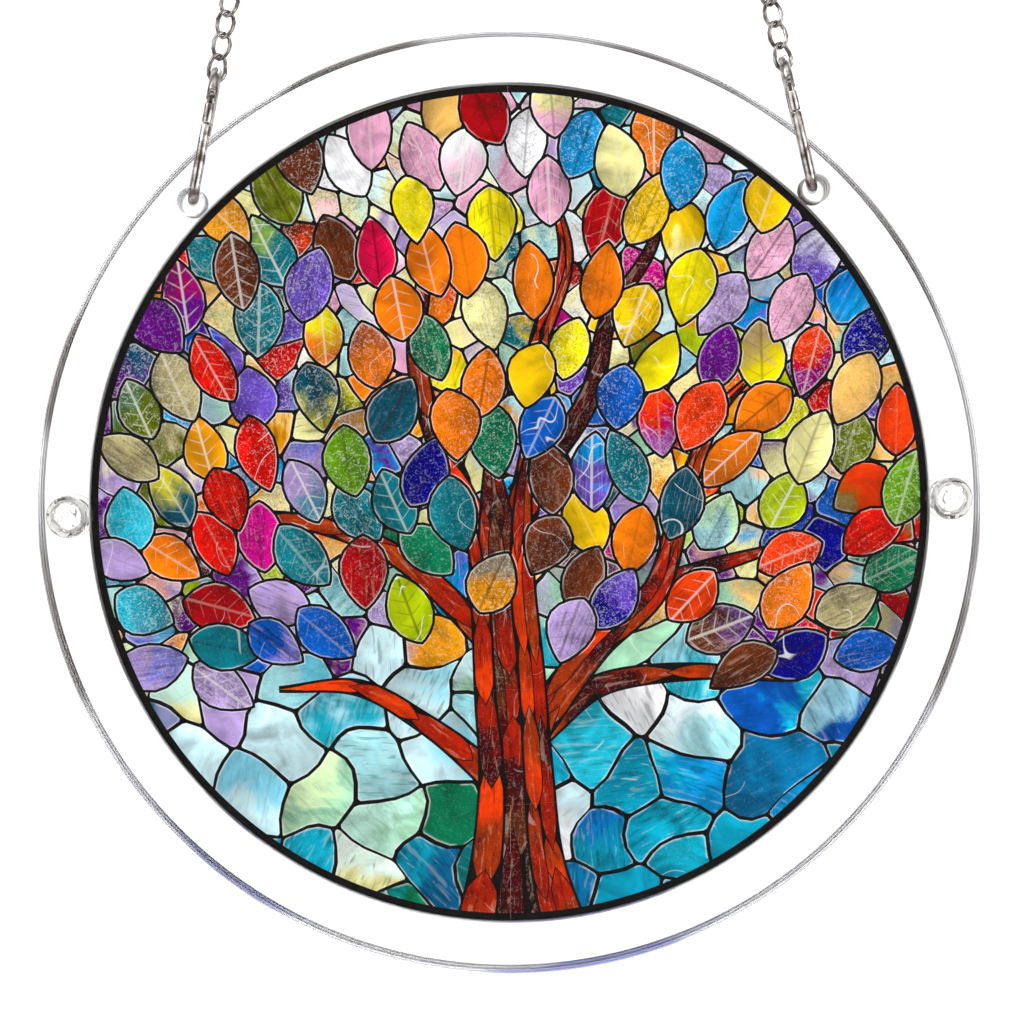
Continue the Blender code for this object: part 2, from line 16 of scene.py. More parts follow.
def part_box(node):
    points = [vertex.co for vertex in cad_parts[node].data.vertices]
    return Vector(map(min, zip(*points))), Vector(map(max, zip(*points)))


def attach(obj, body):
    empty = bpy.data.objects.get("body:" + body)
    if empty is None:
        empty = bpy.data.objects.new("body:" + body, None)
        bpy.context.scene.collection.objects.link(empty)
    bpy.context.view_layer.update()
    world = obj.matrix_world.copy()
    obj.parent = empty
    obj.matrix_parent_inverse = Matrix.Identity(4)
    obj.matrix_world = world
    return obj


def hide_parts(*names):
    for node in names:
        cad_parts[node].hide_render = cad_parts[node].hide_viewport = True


MM = 0.001
SIDES = (("left", -1), ("right", 1))
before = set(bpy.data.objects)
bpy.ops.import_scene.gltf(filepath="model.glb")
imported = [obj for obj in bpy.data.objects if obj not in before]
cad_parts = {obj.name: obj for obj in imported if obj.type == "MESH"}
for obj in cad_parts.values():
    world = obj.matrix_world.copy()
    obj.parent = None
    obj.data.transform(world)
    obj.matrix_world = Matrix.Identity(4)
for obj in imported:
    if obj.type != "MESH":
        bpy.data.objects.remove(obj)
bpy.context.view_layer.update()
scene = bpy.context.scene
scene.view_settings.view_transform = "Standard"
PUZZLE_NODES = sorted(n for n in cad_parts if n.startswith("puzzle_piece_"))
print("frame:", len(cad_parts), "nodes, of them", len(PUZZLE_NODES), "puzzle pieces")

# %% [markdown]
# ## Measure the case
# The three clear sheets lie one behind another along Y, with the front facing -Y. Their boxes give the middle of
# the case, its radius and the depth of each sheet, and the rivets' boxes give where the rivets go.

# %% Case sizes from the frame
front_low, front_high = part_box("front_panel")
ring_low, ring_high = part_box("border_ring")
back_low, back_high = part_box("back_panel")
CENTRE = Vector(((front_low.x + front_high.x) / 2, 0, (front_low.z + front_high.z) / 2))
CASE_RADIUS = (front_high.x - front_low.x) / 2
HOLE_CIRCLE = 93.0 * MM
HOLE_ANGLE = math.radians(45)
HOLE_RADIUS = 2.75 * MM
HOLE_X = HOLE_CIRCLE * math.sin(HOLE_ANGLE)
HOLE_RISE = HOLE_CIRCLE * math.cos(HOLE_ANGLE)
RIVET_BORE_RADIUS = 2.6 * MM
rivet_low, rivet_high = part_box("rivet_right")
RIVET_X = (rivet_low.x + rivet_high.x) / 2
print("case radius mm:", round(CASE_RADIUS / MM, 2), "centre z mm:", round(CENTRE.z / MM, 2))

# %% [markdown]
# ## Camera
# The photograph looks at the front almost squarely, from a little above and from about 450 mm away. The case fills
# the frame, so the lens follows from the case's radius in the picture. The case hangs turned by about a degree,
# and a small roll of the camera shows it so.

# %% Camera
IMAGE_PIXELS = 1024
CASE_RADIUS_PIXELS = 472.6
CASE_CENTRE_PIXEL = (509.4, 506.3)
CAMERA_DISTANCE = 0.450
CAMERA_ELEVATION = math.radians(3.0)
CAMERA_ROLL = math.radians(-1.2)
NEAREST_SEEN = 0.01
SENSOR_WIDTH = 36.0


def facing(direction):
    """The turn that makes a camera or a light look along a direction."""
    return direction.to_track_quat("-Z", "Y").to_matrix().to_4x4()


def place_camera():
    """Aim a camera so that the case has the size and the place that it has in the photograph."""
    scale = CASE_RADIUS_PIXELS / CASE_RADIUS
    aim = CENTRE.copy()
    aim.x += (IMAGE_PIXELS / 2 - CASE_CENTRE_PIXEL[0]) / scale
    aim.z -= (IMAGE_PIXELS / 2 - CASE_CENTRE_PIXEL[1]) / scale
    data = bpy.data.cameras.new("camera")
    data.sensor_width = SENSOR_WIDTH
    data.lens = scale * (CAMERA_DISTANCE + front_low.y) / IMAGE_PIXELS * SENSOR_WIDTH
    data.clip_start = NEAREST_SEEN
    camera = bpy.data.objects.new("camera", data)
    scene.collection.objects.link(camera)
    back = Vector((0, -math.cos(CAMERA_ELEVATION), math.sin(CAMERA_ELEVATION)))
    roll = Matrix.Rotation(CAMERA_ROLL, 4, "Z")
    camera.matrix_world = Matrix.Translation(aim + back * CAMERA_DISTANCE) @ facing(-back) @ roll
    scene.camera = camera
    return data.lens


print("lens mm:", round(place_camera(), 2))

# %% [markdown]
# ## Shader nodes in one line each
# Every look below is built from the same few steps, so each step is a function: a noise, a soft step between two
# values, a mix of two colours. A value for an input may be a plain number or another node's output.

# %% Nodes, materials and groups


def feed(tree, target, value):
    """Give an input its value: a link from another node, or a plain value."""
    if isinstance(value, bpy.types.NodeSocket):
        tree.links.new(value, target)
    else:
        target.default_value = value


def node(tree, kind, values=None, **settings):
    """Add a shader node, set its options, and feed its inputs by name or number."""
    new = tree.nodes.new(kind)
    for name, value in settings.items():
        setattr(new, name, value)
    for socket, value in (values or {}).items():
        feed(tree, new.inputs[socket], value)
    return new


def material(name, values):
    """A new material with plain values on its shader, then its node tree and its shader."""
    mat = bpy.data.materials.new(name)
    mat.use_nodes = True
    shader = mat.node_tree.nodes["Principled BSDF"]
    for socket, value in values.items():
        shader.inputs[socket].default_value = value
    return mat, mat.node_tree, shader


def socket_group(name, inputs, outputs):
    """An empty shader group with named sockets. Each is a name and a socket type's short name."""
    group = bpy.data.node_groups.new(name, "ShaderNodeTree")
    for in_out, sockets in (("INPUT", inputs), ("OUTPUT", outputs)):
        for socket, kind in sockets:
            group.interface.new_socket(socket, in_out=in_out, socket_type=f"NodeSocket{kind}")
    return group, node(group, "NodeGroupInput"), node(group, "NodeGroupOutput")


print("node helpers ready")

# %% Steps of a look


def ramp(tree, source, stops):
    """A colour ramp fed by a value. Each stop is a place and a colour."""
    new = node(tree, "ShaderNodeValToRGB", {"Fac": source})
    band = new.color_ramp
    while len(band.elements) < len(stops):
        band.elements.new(0.5)
    for element, (place, colour) in zip(band.elements, stops):
        element.position = place
        element.color = colour
    return new.outputs["Color"]


def math_node(tree, operation, first, second=0.0):
    """One step of arithmetic."""
    return node(tree, "ShaderNodeMath", {0: first, 1: second}, operation=operation).outputs[0]


def product(tree, first, *others):
    """The product of several values, taken from the left."""
    for other in others:
        first = math_node(tree, "MULTIPLY", first, other)
    return first


def noise(tree, place, scale, detail, distortion=0.0):
    """The value of a noise at a place."""
    values = {"Vector": place, "Scale": scale, "Detail": detail, "Distortion": distortion}
    return node(tree, "ShaderNodeTexNoise", values).outputs["Fac"]


def map_range(tree, value, low, high, to_low=0.0, to_high=1.0, kind="LINEAR"):
    """Carry a value from one range to another."""
    values = {"Value": value, "From Min": low, "From Max": high, "To Min": to_low, "To Max": to_high}
    return node(tree, "ShaderNodeMapRange", values, interpolation_type=kind).outputs["Result"]


def smooth_step(tree, value, low, high):
    """A soft step from 0 to 1 between two values."""
    return map_range(tree, value, low, high, kind="SMOOTHSTEP")


def smooth_fall(tree, value, low, high):
    """A soft step from 1 to 0 between two values."""
    return math_node(tree, "SUBTRACT", 1.0, smooth_step(tree, value, low, high))


def mix_colour(tree, share, first, second, blend="MIX"):
    """Mix two colours by a share."""
    values = {"Factor": share, "A": first, "B": second}
    return node(tree, "ShaderNodeMix", values, data_type="RGBA", blend_type=blend).outputs["Result"]


def add_vectors(tree, first, second):
    """The sum of two vectors."""
    return node(tree, "ShaderNodeVectorMath", {0: first, 1: second}, operation="ADD").outputs[0]


def split_vector(tree, source):
    """The parts of a vector, by the names X, Y and Z."""
    return node(tree, "ShaderNodeSeparateXYZ", {0: source}).outputs


def object_place(tree):
    """The place on the object, which goes with the object in every pose."""
    return node(tree, "ShaderNodeTexCoord").outputs["Object"]


def add_bump(tree, shader, height, strength, distance):
    """Let a height ripple the surface."""
    values = {"Height": height, "Strength": strength, "Distance": distance}
    feed(tree, shader.inputs["Normal"], node(tree, "ShaderNodeBump", values).outputs["Normal"])


print("steps ready")

# %% [markdown]
# ## Room, floor and lights
# The room is white in front of and behind the case and greyer around its edge, because clear acrylic in an all
# white room would vanish: its rim shows only what it bends into view. Behind the camera a small part is dark, as
# a photographer's gear would be, and the front panel mirrors it, so that the picture's colours stay deep.

# %% Room, floor and lights
ROOM_FRONT_GAIN = 0.88
ROOM_GLOW = 1.25
ROOM_STOPS = [
    (0.0, (0.02, 0.02, 0.02, 1)),
    (0.03, (0.03, 0.03, 0.03, 1)),
    (0.075, (1.0, 1.0, 1.0, 1)),
    (0.32, (0.95, 0.95, 0.97, 1)),
    (0.44, (0.40, 0.38, 0.45, 1)),
    (0.5, (0.05, 0.05, 0.06, 1)),
    (0.56, (0.40, 0.38, 0.45, 1)),
    (0.72, (1.0, 1.0, 1.0, 1)),
]
FLOOR_DROP = 0.42
FLOOR_RADIUS = 1.0
FLOOR_SEGMENTS = 96
LIGHTS = [
    ("key", (-0.9, -0.6, 0.9), 0.6, 0.5, 9),
    ("fill", (0.8, -0.5, 0.1), 0.5, 0.8, 4),
    ("rim", (0.2, 0.7, 0.7), 0.6, 0.4, 5),
]


def build_room():
    """A white room, grey at right angles to the view, with a dark gap behind the camera."""
    world = bpy.data.worlds.new("white room")
    scene.world = world
    world.use_nodes = True
    tree = world.node_tree
    background = tree.nodes["Background"]
    toward_back = split_vector(tree, node(tree, "ShaderNodeTexCoord").outputs["Generated"])["Y"]
    share = math_node(tree, "ADD", product(tree, toward_back, 0.5), 0.5)
    feed(tree, background.inputs["Color"], ramp(tree, share, ROOM_STOPS))
    in_front = math_node(tree, "LESS_THAN", toward_back, 0.0)
    glow = math_node(tree, "ADD", product(tree, in_front, ROOM_FRONT_GAIN), ROOM_GLOW)
    feed(tree, background.inputs["Strength"], glow)


def mesh_object(name, bm):
    """An object in the scene with a finished bmesh as its mesh."""
    mesh = bpy.data.meshes.new(name)
    bm.to_mesh(mesh)
    bm.free()
    new = bpy.data.objects.new(name, mesh)
    scene.collection.objects.link(new)
    return new


def build_floor():
    """A pale round floor, well below the case."""
    bm = bmesh.new()
    bmesh.ops.create_circle(bm, cap_ends=True, segments=FLOOR_SEGMENTS, radius=FLOOR_RADIUS)
    bmesh.ops.translate(bm, vec=(0, 0, CENTRE.z - CASE_RADIUS - FLOOR_DROP), verts=bm.verts)
    floor = mesh_object("floor", bm)
    pale, _, _ = material("pale floor", {"Base Color": (0.82, 0.82, 0.82, 1), "Roughness": 0.7})
    floor.data.materials.append(pale)


def soft_light(name, offset, width, height, watts):
    """A rectangular soft light at an offset from the case, turned to face it."""
    data = bpy.data.lights.new(name, "AREA")
    data.shape = "RECTANGLE"
    data.size, data.size_y = width, height
    data.energy = watts
    light = bpy.data.objects.new(name, data)
    scene.collection.objects.link(light)
    place = CENTRE + Vector(offset)
    light.matrix_world = Matrix.Translation(place) @ facing(CENTRE - place)


build_room()
build_floor()
for light in LIGHTS:
    soft_light(*light)
print("room, floor and", len(LIGHTS), "lights are in place")

# %% [markdown]
# ## The way a piece is finished
# Every piece below ends the same way: its bmesh becomes a mesh object at the origin, its faces point outward, its
# sharp edges stay sharp, it rides on its body, and it stands for its plain solid.

# %% Finish a piece
SHARP_ANGLE = 35.0
SAME_PLACE = 1e-6


def finish_piece(name, bm, mats, body="case", nodes=(), smooth_angle=SHARP_ANGLE):
    """Turn a bmesh into a piece of the object, riding on a body and standing for solids."""
    bmesh.ops.recalc_face_normals(bm, faces=bm.faces)
    piece = mesh_object(name, bm)
    if smooth_angle:
        piece.data.shade_smooth()
        piece.data.set_sharp_from_angle(angle=math.radians(smooth_angle))
    for mat in mats:
        piece.data.materials.append(mat)
    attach(piece, body)
    if nodes:
        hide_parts(*nodes)
    return piece


def raise_faces(bm, depth):
    """Raise flat faces along Y into a slab."""
    raised = bmesh.ops.extrude_face_region(bm, geom=bm.faces[:])["geom"]
    top = [v for v in raised if isinstance(v, bmesh.types.BMVert)]
    bmesh.ops.translate(bm, vec=(0, depth, 0), verts=top)


print("finishing ready")

# %% [markdown]
# ## Clear acrylic
# The sheets are cast acrylic: clear, polished, with the faint unevenness of handled plastic. Transmission and the
# refractive index are plain values on the shader, and only the roughness and a slight ripple vary.

# %% Clear acrylic material
ACRYLIC_IOR = 1.42
SMUDGE_RANGE = (0.45, 0.75)
WAVES_TO_SMUDGES = 0.4
RIPPLE_HEIGHT = 0.4 * MM


def clear_plastic(name, tint, smudge_scale, smudge, ripple):
    """A see-through plastic. Smudge is the most roughness, and ripple the strength of the surface waves."""
    mat, tree, shader = material(name, {"Transmission Weight": 1.0, "IOR": ACRYLIC_IOR, "Base Color": tint})
    place = object_place(tree)
    smudges = map_range(tree, noise(tree, place, smudge_scale, 3.0), *SMUDGE_RANGE, 0.0, smudge)
    feed(tree, shader.inputs["Roughness"], smudges)
    add_bump(tree, shader, noise(tree, place, smudge_scale * WAVES_TO_SMUDGES, 1.0), ripple, RIPPLE_HEIGHT)
    return mat


sheet_acrylic = clear_plastic("clear sheet acrylic", (0.998, 0.998, 0.994, 1), 60.0, 0.012, 0.02)
rivet_plastic = clear_plastic("clear rivet plastic", (0.93, 0.92, 0.90, 1), 1300.0, 0.25, 1.0)
print("clear plastics:", sheet_acrylic.name, "and", rivet_plastic.name)

# %% [markdown]
# ## The sheets' cut edges
# A laser leaves the cut edge of acrylic a little frosted, and that is where a clear sheet shows: as grey and
# lavender lines, which are mostly what the clear edge reflects and bends into view. So the edges get two materials
# of their own, with that reflection painted into their colour: a soft grey that changes slowly round the rim,
# lavender towards the foot, with pale patches of painted reflection. One is for the small bevel, which isn't clear
# at all, and one for the wall, a quarter of which is clear.

# %% Cut edge of the sheets
EDGE_ROUGHNESS = 0.25
# Painted reflection on the edges: where its tone turns grey, and its pale patches.
EDGE_REFLECTION_TONE_TOP = 0.6
EDGE_PATCH_SCALE = 22.0
EDGE_PATCH_RANGE = (0.46, 0.54)
EDGE_PAINTED_REFLECTION_WHITE = (0.9, 0.9, 0.92, 1)


def frosted_edge_with_painted_reflection(name, clear_share, above, below):
    """A cut edge: part clear, part a soft tone of painted reflection, which changes upward from the case's foot,
    with pale patches of painted reflection over it.
    """
    values = {"Transmission Weight": clear_share, "IOR": ACRYLIC_IOR, "Roughness": EDGE_ROUGHNESS}
    mat, tree, shader = material(name, values)
    place = object_place(tree)
    height = map_range(tree, split_vector(tree, place)["Z"], CENTRE.z - CASE_RADIUS, CENTRE.z)
    # Painted reflection: the edge's colour runs from lavender at the foot to grey higher up, and a slow noise lays
    # pale patches of painted reflection over it.
    tone = ramp(tree, height, [(0.0, below), (EDGE_REFLECTION_TONE_TOP, above)])
    bright = map_range(tree, noise(tree, place, EDGE_PATCH_SCALE, 1.0), *EDGE_PATCH_RANGE)
    feed(tree, shader.inputs["Base Color"], mix_colour(tree, bright, tone, EDGE_PAINTED_REFLECTION_WHITE))
    return mat


# Both edge materials carry painted reflection in their colour: grey above, lavender below.
edge_line = frosted_edge_with_painted_reflection("frosted edge line with painted reflection", 0.0, (0.30, 0.28, 0.27, 1), (0.36, 0.38, 0.68, 1))
edge_wall = frosted_edge_with_painted_reflection("clear edge wall with painted reflection", 0.25, (0.74, 0.72, 0.71, 1), (0.58, 0.60, 0.88, 1))
print("edges:", edge_line.name, "and", edge_wall.name)

# %% [markdown]
# ## The clear sheets
# Each sheet is laser-cut: a round outline with round holes. The outlines are drawn as circles of edges, filled
# between them, and raised to the sheet's thickness. A very small bevel runs round every edge, because an edge
# with no bevel never catches the light.

# %% Clear sheets
RIM_SEGMENTS = 240
BORE_SEGMENTS = 40
WINDOW_RADIUS = 89.2 * MM
EDGE_BEVEL = 0.3 * MM
FLAT_ANGLE = 20.0
BEVELLED_ANGLE = math.radians(60)
STAND_UP = Matrix.Rotation(math.pi / 2, 4, "X")


def circle_edges(bm, x, z, radius, segments):
    """A ring of edges standing in the plane of X and Z, about the case's centre."""
    ring = bmesh.ops.create_circle(bm, segments=segments, radius=radius)["verts"]
    bmesh.ops.transform(bm, matrix=STAND_UP, verts=ring)
    bmesh.ops.translate(bm, vec=CENTRE + Vector((x, 0, z)), verts=ring)


def round_over(bm, edges, offset):
    """A small round bevel on some edges. It gives the bevel's faces."""
    rounding = {"offset": offset, "segments": 2, "profile": 0.5, "affect": "EDGES", "material": -1}
    return bmesh.ops.bevel(bm, geom=edges, **rounding)["faces"]


def sheet(name, low_y, high_y, window_radius=None):
    """A round sheet with its holes, from one face to the other along Y."""
    bm = bmesh.new()
    circle_edges(bm, 0, 0, CASE_RADIUS, RIM_SEGMENTS)
    for _, x_sign in SIDES:
        circle_edges(bm, x_sign * HOLE_X, HOLE_RISE, HOLE_RADIUS, BORE_SEGMENTS)
        circle_edges(bm, x_sign * RIVET_X, 0, RIVET_BORE_RADIUS, BORE_SEGMENTS)
    if window_radius:
        circle_edges(bm, 0, 0, window_radius, RIM_SEGMENTS)
    bmesh.ops.triangle_fill(bm, use_beauty=True, normal=(0, 1, 0), edges=bm.edges)
    bmesh.ops.translate(bm, vec=(0, low_y, 0), verts=bm.verts)
    raise_faces(bm, high_y - low_y)
    bmesh.ops.recalc_face_normals(bm, faces=bm.faces)
    for face in bm.faces:
        face.material_index = 0 if abs(face.normal.y) > 0.5 else 2
    sharp = [e for e in bm.edges if len(e.link_faces) == 2 and e.calc_face_angle() > BEVELLED_ANGLE]
    for face in round_over(bm, sharp, EDGE_BEVEL):
        face.material_index = 1
    mats = (sheet_acrylic, edge_line, edge_wall)
    return finish_piece(f"clear_{name}", bm, mats, nodes=(name,), smooth_angle=FLAT_ANGLE)


sheets = [
    sheet("front_panel", front_low.y, front_high.y),
    sheet("border_ring", ring_low.y, ring_high.y, WINDOW_RADIUS),
    sheet("back_panel", back_low.y, back_high.y),
]
print("sheets:", [(s.name, len(s.data.polygons)) for s in sheets])

# %% [markdown]
# ## The rivets
# Clear plastic rivets hold the sheets together. Such a rivet is turned: one profile, from its back tip to its
# front tip, is spun about its own axis. The edges of the profile are rounded with small steps.

# %% Rivets
RIVET_STEPS = 48
RIVET_SHANK_RADIUS = 2.3 * MM
RIVET_FLANGE_RADIUS = 4.5 * MM
RIVET_FLANGE_THICKNESS = 0.8 * MM
RIVET_LIP = 0.25 * MM
LIP_STEPS = 4
RIVET_DOME_RADIUS = 3.4 * MM
DOME_FOOT = 0.1 * MM
DOME_STEPS = 8
DIMPLE_RADIUS = 1.7 * MM
DIMPLE_ROWS = ((0.85, 0.03), (0.7, 0.16), (0.5, 0.36), (0.25, 0.47), (0.0, 0.5))
RIVET_SEAT_GAP = 0.3 * MM
RIVET_DOME_HEIGHT = rivet_high.y - back_high.y - RIVET_SEAT_GAP - RIVET_FLANGE_THICKNESS


def rivet_half():
    """Half of the profile, from the seat to the tip: height above the sheet and radius.

    Each dimple row is a share of the dimple's radius and of the dome's height, down from its top.
    """
    straight, half = RIVET_FLANGE_RADIUS - RIVET_LIP, RIVET_FLANGE_THICKNESS / 2
    rows = [(RIVET_SEAT_GAP, RIVET_SHANK_RADIUS), (RIVET_SEAT_GAP, straight)]
    for k in range(LIP_STEPS + 1):
        angle = -math.pi / 2 + math.pi * k / LIP_STEPS
        rows.append((RIVET_SEAT_GAP + half + half * math.sin(angle), straight + RIVET_LIP * math.cos(angle)))
    top = RIVET_SEAT_GAP + RIVET_FLANGE_THICKNESS
    rows.append((top, RIVET_DOME_RADIUS + DOME_FOOT))
    for k in range(1, DOME_STEPS + 1):
        angle = math.pi / 2 * k / DOME_STEPS
        radius = DIMPLE_RADIUS + (RIVET_DOME_RADIUS - DIMPLE_RADIUS) * math.cos(angle)
        rows.append((top + RIVET_DOME_HEIGHT * math.sin(angle), radius))
    for share, depth in DIMPLE_ROWS:
        rows.append((top + RIVET_DOME_HEIGHT * (1 - depth), DIMPLE_RADIUS * share))
    return rows


def rivet(side, x_sign):
    """A rivet through all the sheets, with like heads in front and behind."""
    bm = bmesh.new()
    half = rivet_half()
    rows = [(front_low.y - height, radius) for height, radius in reversed(half)]
    rows += [(back_high.y + height, radius) for height, radius in half]
    verts = [bm.verts.new((x_sign * RIVET_X + radius, y, CENTRE.z)) for y, radius in rows]
    edges = [bm.edges.new(pair) for pair in zip(verts, verts[1:])]
    bmesh.ops.spin(
        bm,
        geom=verts + edges,
        cent=(x_sign * RIVET_X, 0, CENTRE.z),
        axis=(0, 1, 0),
        angle=2 * math.pi,
        steps=RIVET_STEPS,
        use_merge=True,
    )
    bmesh.ops.remove_doubles(bm, verts=bm.verts, dist=SAME_PLACE)
    return finish_piece(f"clear_rivet_{side}", bm, (rivet_plastic,), nodes=(f"rivet_{side}",))


for side, x_sign in SIDES:
    rivet(side, x_sign)
print("rivets at x mm:", round(RIVET_X / MM, 2))

# %% [markdown]
# ## Bright plated steel
# The hooks and the chain are plated steel. Real plating reflects the room, so most of its look comes from light
# and dark around it. The material adds only what plating itself has: slight brushing, and darker, duller metal
# in patches where it has been handled.

# %% Steel


def worn_steel_group():
    """A shader group that gives the colour and roughness of plated steel over its surface."""
    inputs = [("Vector", "Vector"), ("Bright", "Color"), ("Dull", "Color")]
    outputs = [("Color", "Color"), ("Roughness", "Float"), ("Height", "Float")]
    group, entry, leave = socket_group("plated wear", inputs, outputs)
    patches = noise(group, entry.outputs["Vector"], 420.0, 3.0)
    worn = map_range(group, patches, 0.38, 0.62)
    colour = mix_colour(group, worn, entry.outputs["Bright"], entry.outputs["Dull"])
    feed(group, leave.inputs["Color"], colour)
    feed(group, leave.inputs["Roughness"], map_range(group, patches, 0.0, 1.0, 0.14, 0.34))
    feed(group, leave.inputs["Height"], noise(group, entry.outputs["Vector"], 2600.0, 2.0))
    return group


def steel(name, group, bright, dull):
    """Plated steel between a bright colour and a dull one."""
    mat, tree, shader = material(name, {"Metallic": 1.0})
    values = {"Vector": object_place(tree), "Bright": bright, "Dull": dull}
    wear = node(tree, "ShaderNodeGroup", values, node_tree=group).outputs
    feed(tree, shader.inputs["Base Color"], wear["Color"])
    feed(tree, shader.inputs["Roughness"], wear["Roughness"])
    add_bump(tree, shader, wear["Height"], 0.15, 0.05 * MM)
    return mat


plated_wear = worn_steel_group()
hook_steel = steel("plated hook wire", plated_wear, (0.46, 0.43, 0.41, 1), (0.09, 0.07, 0.06, 1))
chain_steel = steel("plated chain wire", plated_wear, (0.34, 0.32, 0.30, 1), (0.07, 0.06, 0.055, 1))
print("steels:", hook_steel.name, "and", chain_steel.name)

# %% [markdown]
# ## The snap hooks
# A hook is one length of round wire, bent into a long oval that lies across the sheets, so from the front it
# shows as a straight bar. Each is turned a little about itself, which is how it hangs edge-on to the viewer. The
# wire is a circle swept along a path. The gate closes the front leg: it turns on a cross pin between two cheeks
# that are cut into the wire.

# %% Hook sizes
WIRE_RADIUS = 1.1 * MM
HOOK_LENGTH = 29.7 * MM
HOOK_BEND_RADIUS = 6.3 * MM
HOOK_CORNER_RADIUS = 3.0 * MM
HOOK_SPAN = HOOK_LENGTH - 2 * WIRE_RADIUS
HOOK_LIFT = 0.52309 * MM
HOOK_TURN = math.radians(8)
LEAN = math.radians(12.03437)
BEND_TO_CHEEKS = 0.35 * MM
CHEEKS_TO_PIN = 0.9 * MM
GATE_LENGTH = 6.7 * MM
GATE_GAP = 0.3 * MM
TONGUE_RADIUS = 0.95 * MM
CHEEK_ENDS = HOOK_SPAN - HOOK_BEND_RADIUS - BEND_TO_CHEEKS
PIN_HEIGHT = CHEEK_ENDS + CHEEKS_TO_PIN
NOSE_END = PIN_HEIGHT + TONGUE_RADIUS - GATE_LENGTH - GATE_GAP


def hook_place(x_sign, about_itself=HOOK_TURN):
    """The place and lean of a hook: the foot of its oval stands just above the hole's middle."""
    turn = Matrix.Rotation(-x_sign * LEAN, 4, "Y") @ Matrix.Rotation(-x_sign * about_itself, 4, "Z")
    foot = Vector((x_sign * HOLE_X, 0, CENTRE.z + HOLE_RISE))
    return Matrix.Translation(foot) @ turn @ Matrix.Translation((0, 0, HOOK_LIFT))


_, hook_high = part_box("hook_right")
probe = hook_place(1) @ Vector((0, 0, HOOK_SPAN + WIRE_RADIUS))
print("hook top mm: CAD", round(hook_high.z / MM, 2), "here", round(probe.z / MM, 2))

# %% Hook wire
CORNER_STEPS = 8
BEND_STEPS = 22


def arc(centre_y, centre_z, radius, start_deg, end_deg, steps):
    """Points of an arc in the plane of Y and Z, with its start left out."""
    points = []
    for k in range(1, steps + 1):
        angle = math.radians(start_deg + (end_deg - start_deg) * k / steps)
        points.append(Vector((0, centre_y + radius * math.cos(angle), centre_z + radius * math.sin(angle))))
    return points


def hook_route():
    """The centreline of the wire, from the nose, under, behind and over to the hinge."""
    bend, corner = HOOK_BEND_RADIUS, HOOK_CORNER_RADIUS
    route = [Vector((0, -bend, NOSE_END)), Vector((0, -bend, corner))]
    route += arc(-bend + corner, corner, corner, 180, 270, CORNER_STEPS)
    route.append(Vector((0, bend - corner, 0)))
    route += arc(bend - corner, corner, corner, 270, 360, CORNER_STEPS)
    route.append(Vector((0, bend, HOOK_SPAN - bend)))
    route += arc(0, HOOK_SPAN - bend, bend, 0, 180, BEND_STEPS)
    route.append(Vector((0, -bend, CHEEK_ENDS)))
    return route


def sweep(bm, route, radius, sides, across, closed=False):
    """A round wire: circles stood across a route, each joined to the next.

    Across is a direction that stays at right angles to the route, one for all or one for each point.
    """
    rings = []
    count = len(route)
    for i, point in enumerate(route):
        before = route[i - 1] if closed or i else point
        after = route[(i + 1) % count] if closed or i < count - 1 else point
        along = (after - before).normalized()
        side = across[i] if isinstance(across, list) else across
        third = along.cross(side).normalized()
        stand = Matrix((third.cross(along), third, along)).transposed().to_4x4()
        ring = bmesh.ops.create_circle(bm, segments=sides, radius=radius)["verts"]
        bmesh.ops.transform(bm, matrix=Matrix.Translation(point) @ stand, verts=ring)
        rings.append(ring)
    for first, second in zip(rings, rings[1:] + rings[:1] if closed else rings[1:]):
        for k in range(sides):
            bm.faces.new((first[k], first[k - 1], second[k - 1], second[k]))
    if not closed:
        bm.faces.new(rings[0])
        bm.faces.new(list(reversed(rings[-1])))
    return rings


def carve(piece, tools):
    """Cut tools out of a piece or join them to it, exactly, and keep the result as its mesh."""
    for bm, operation in tools:
        bmesh.ops.recalc_face_normals(bm, faces=bm.faces)
        tool = mesh_object("tool", bm)
        modifier = piece.modifiers.new("carve", "BOOLEAN")
        modifier.operation, modifier.object, modifier.solver = operation, tool, "EXACT"
        shaped = piece.evaluated_get(bpy.context.evaluated_depsgraph_get())
        result = bpy.data.meshes.new_from_object(shaped)
        piece.modifiers.clear()
        piece.data = result
        bpy.data.objects.remove(tool)
    piece.data.set_sharp_from_angle(angle=math.radians(SHARP_ANGLE))


print("points along a hook:", len(hook_route()))

# %% Hooks
WIRE_SIDES = 20
WIRE_ACROSS = Vector((1, 0, 0))
WIRE_END_BEVEL = 0.25 * MM
SLOT_WIDTH = 1.3 * MM
SLOT_TOP = PIN_HEIGHT + TONGUE_RADIUS + 0.45 * MM
SLOT_BOTTOM = PIN_HEIGHT - CHEEKS_TO_PIN - GATE_GAP
PIN_RADIUS = 0.4 * MM
PIN_SHARE_IN_CHEEKS = 0.6
PIN_LENGTH = SLOT_WIDTH + PIN_SHARE_IN_CHEEKS * (2 * WIRE_RADIUS - SLOT_WIDTH)
PIN_SEGMENTS = 24


def box_tool(place, size, centre):
    """A box of a size about a centre, moved to a place."""
    bm = bmesh.new()
    bmesh.ops.create_cube(bm, size=1.0)
    bmesh.ops.scale(bm, vec=size, verts=bm.verts)
    bmesh.ops.translate(bm, vec=centre, verts=bm.verts)
    bmesh.ops.transform(bm, matrix=place, verts=bm.verts)
    return bm


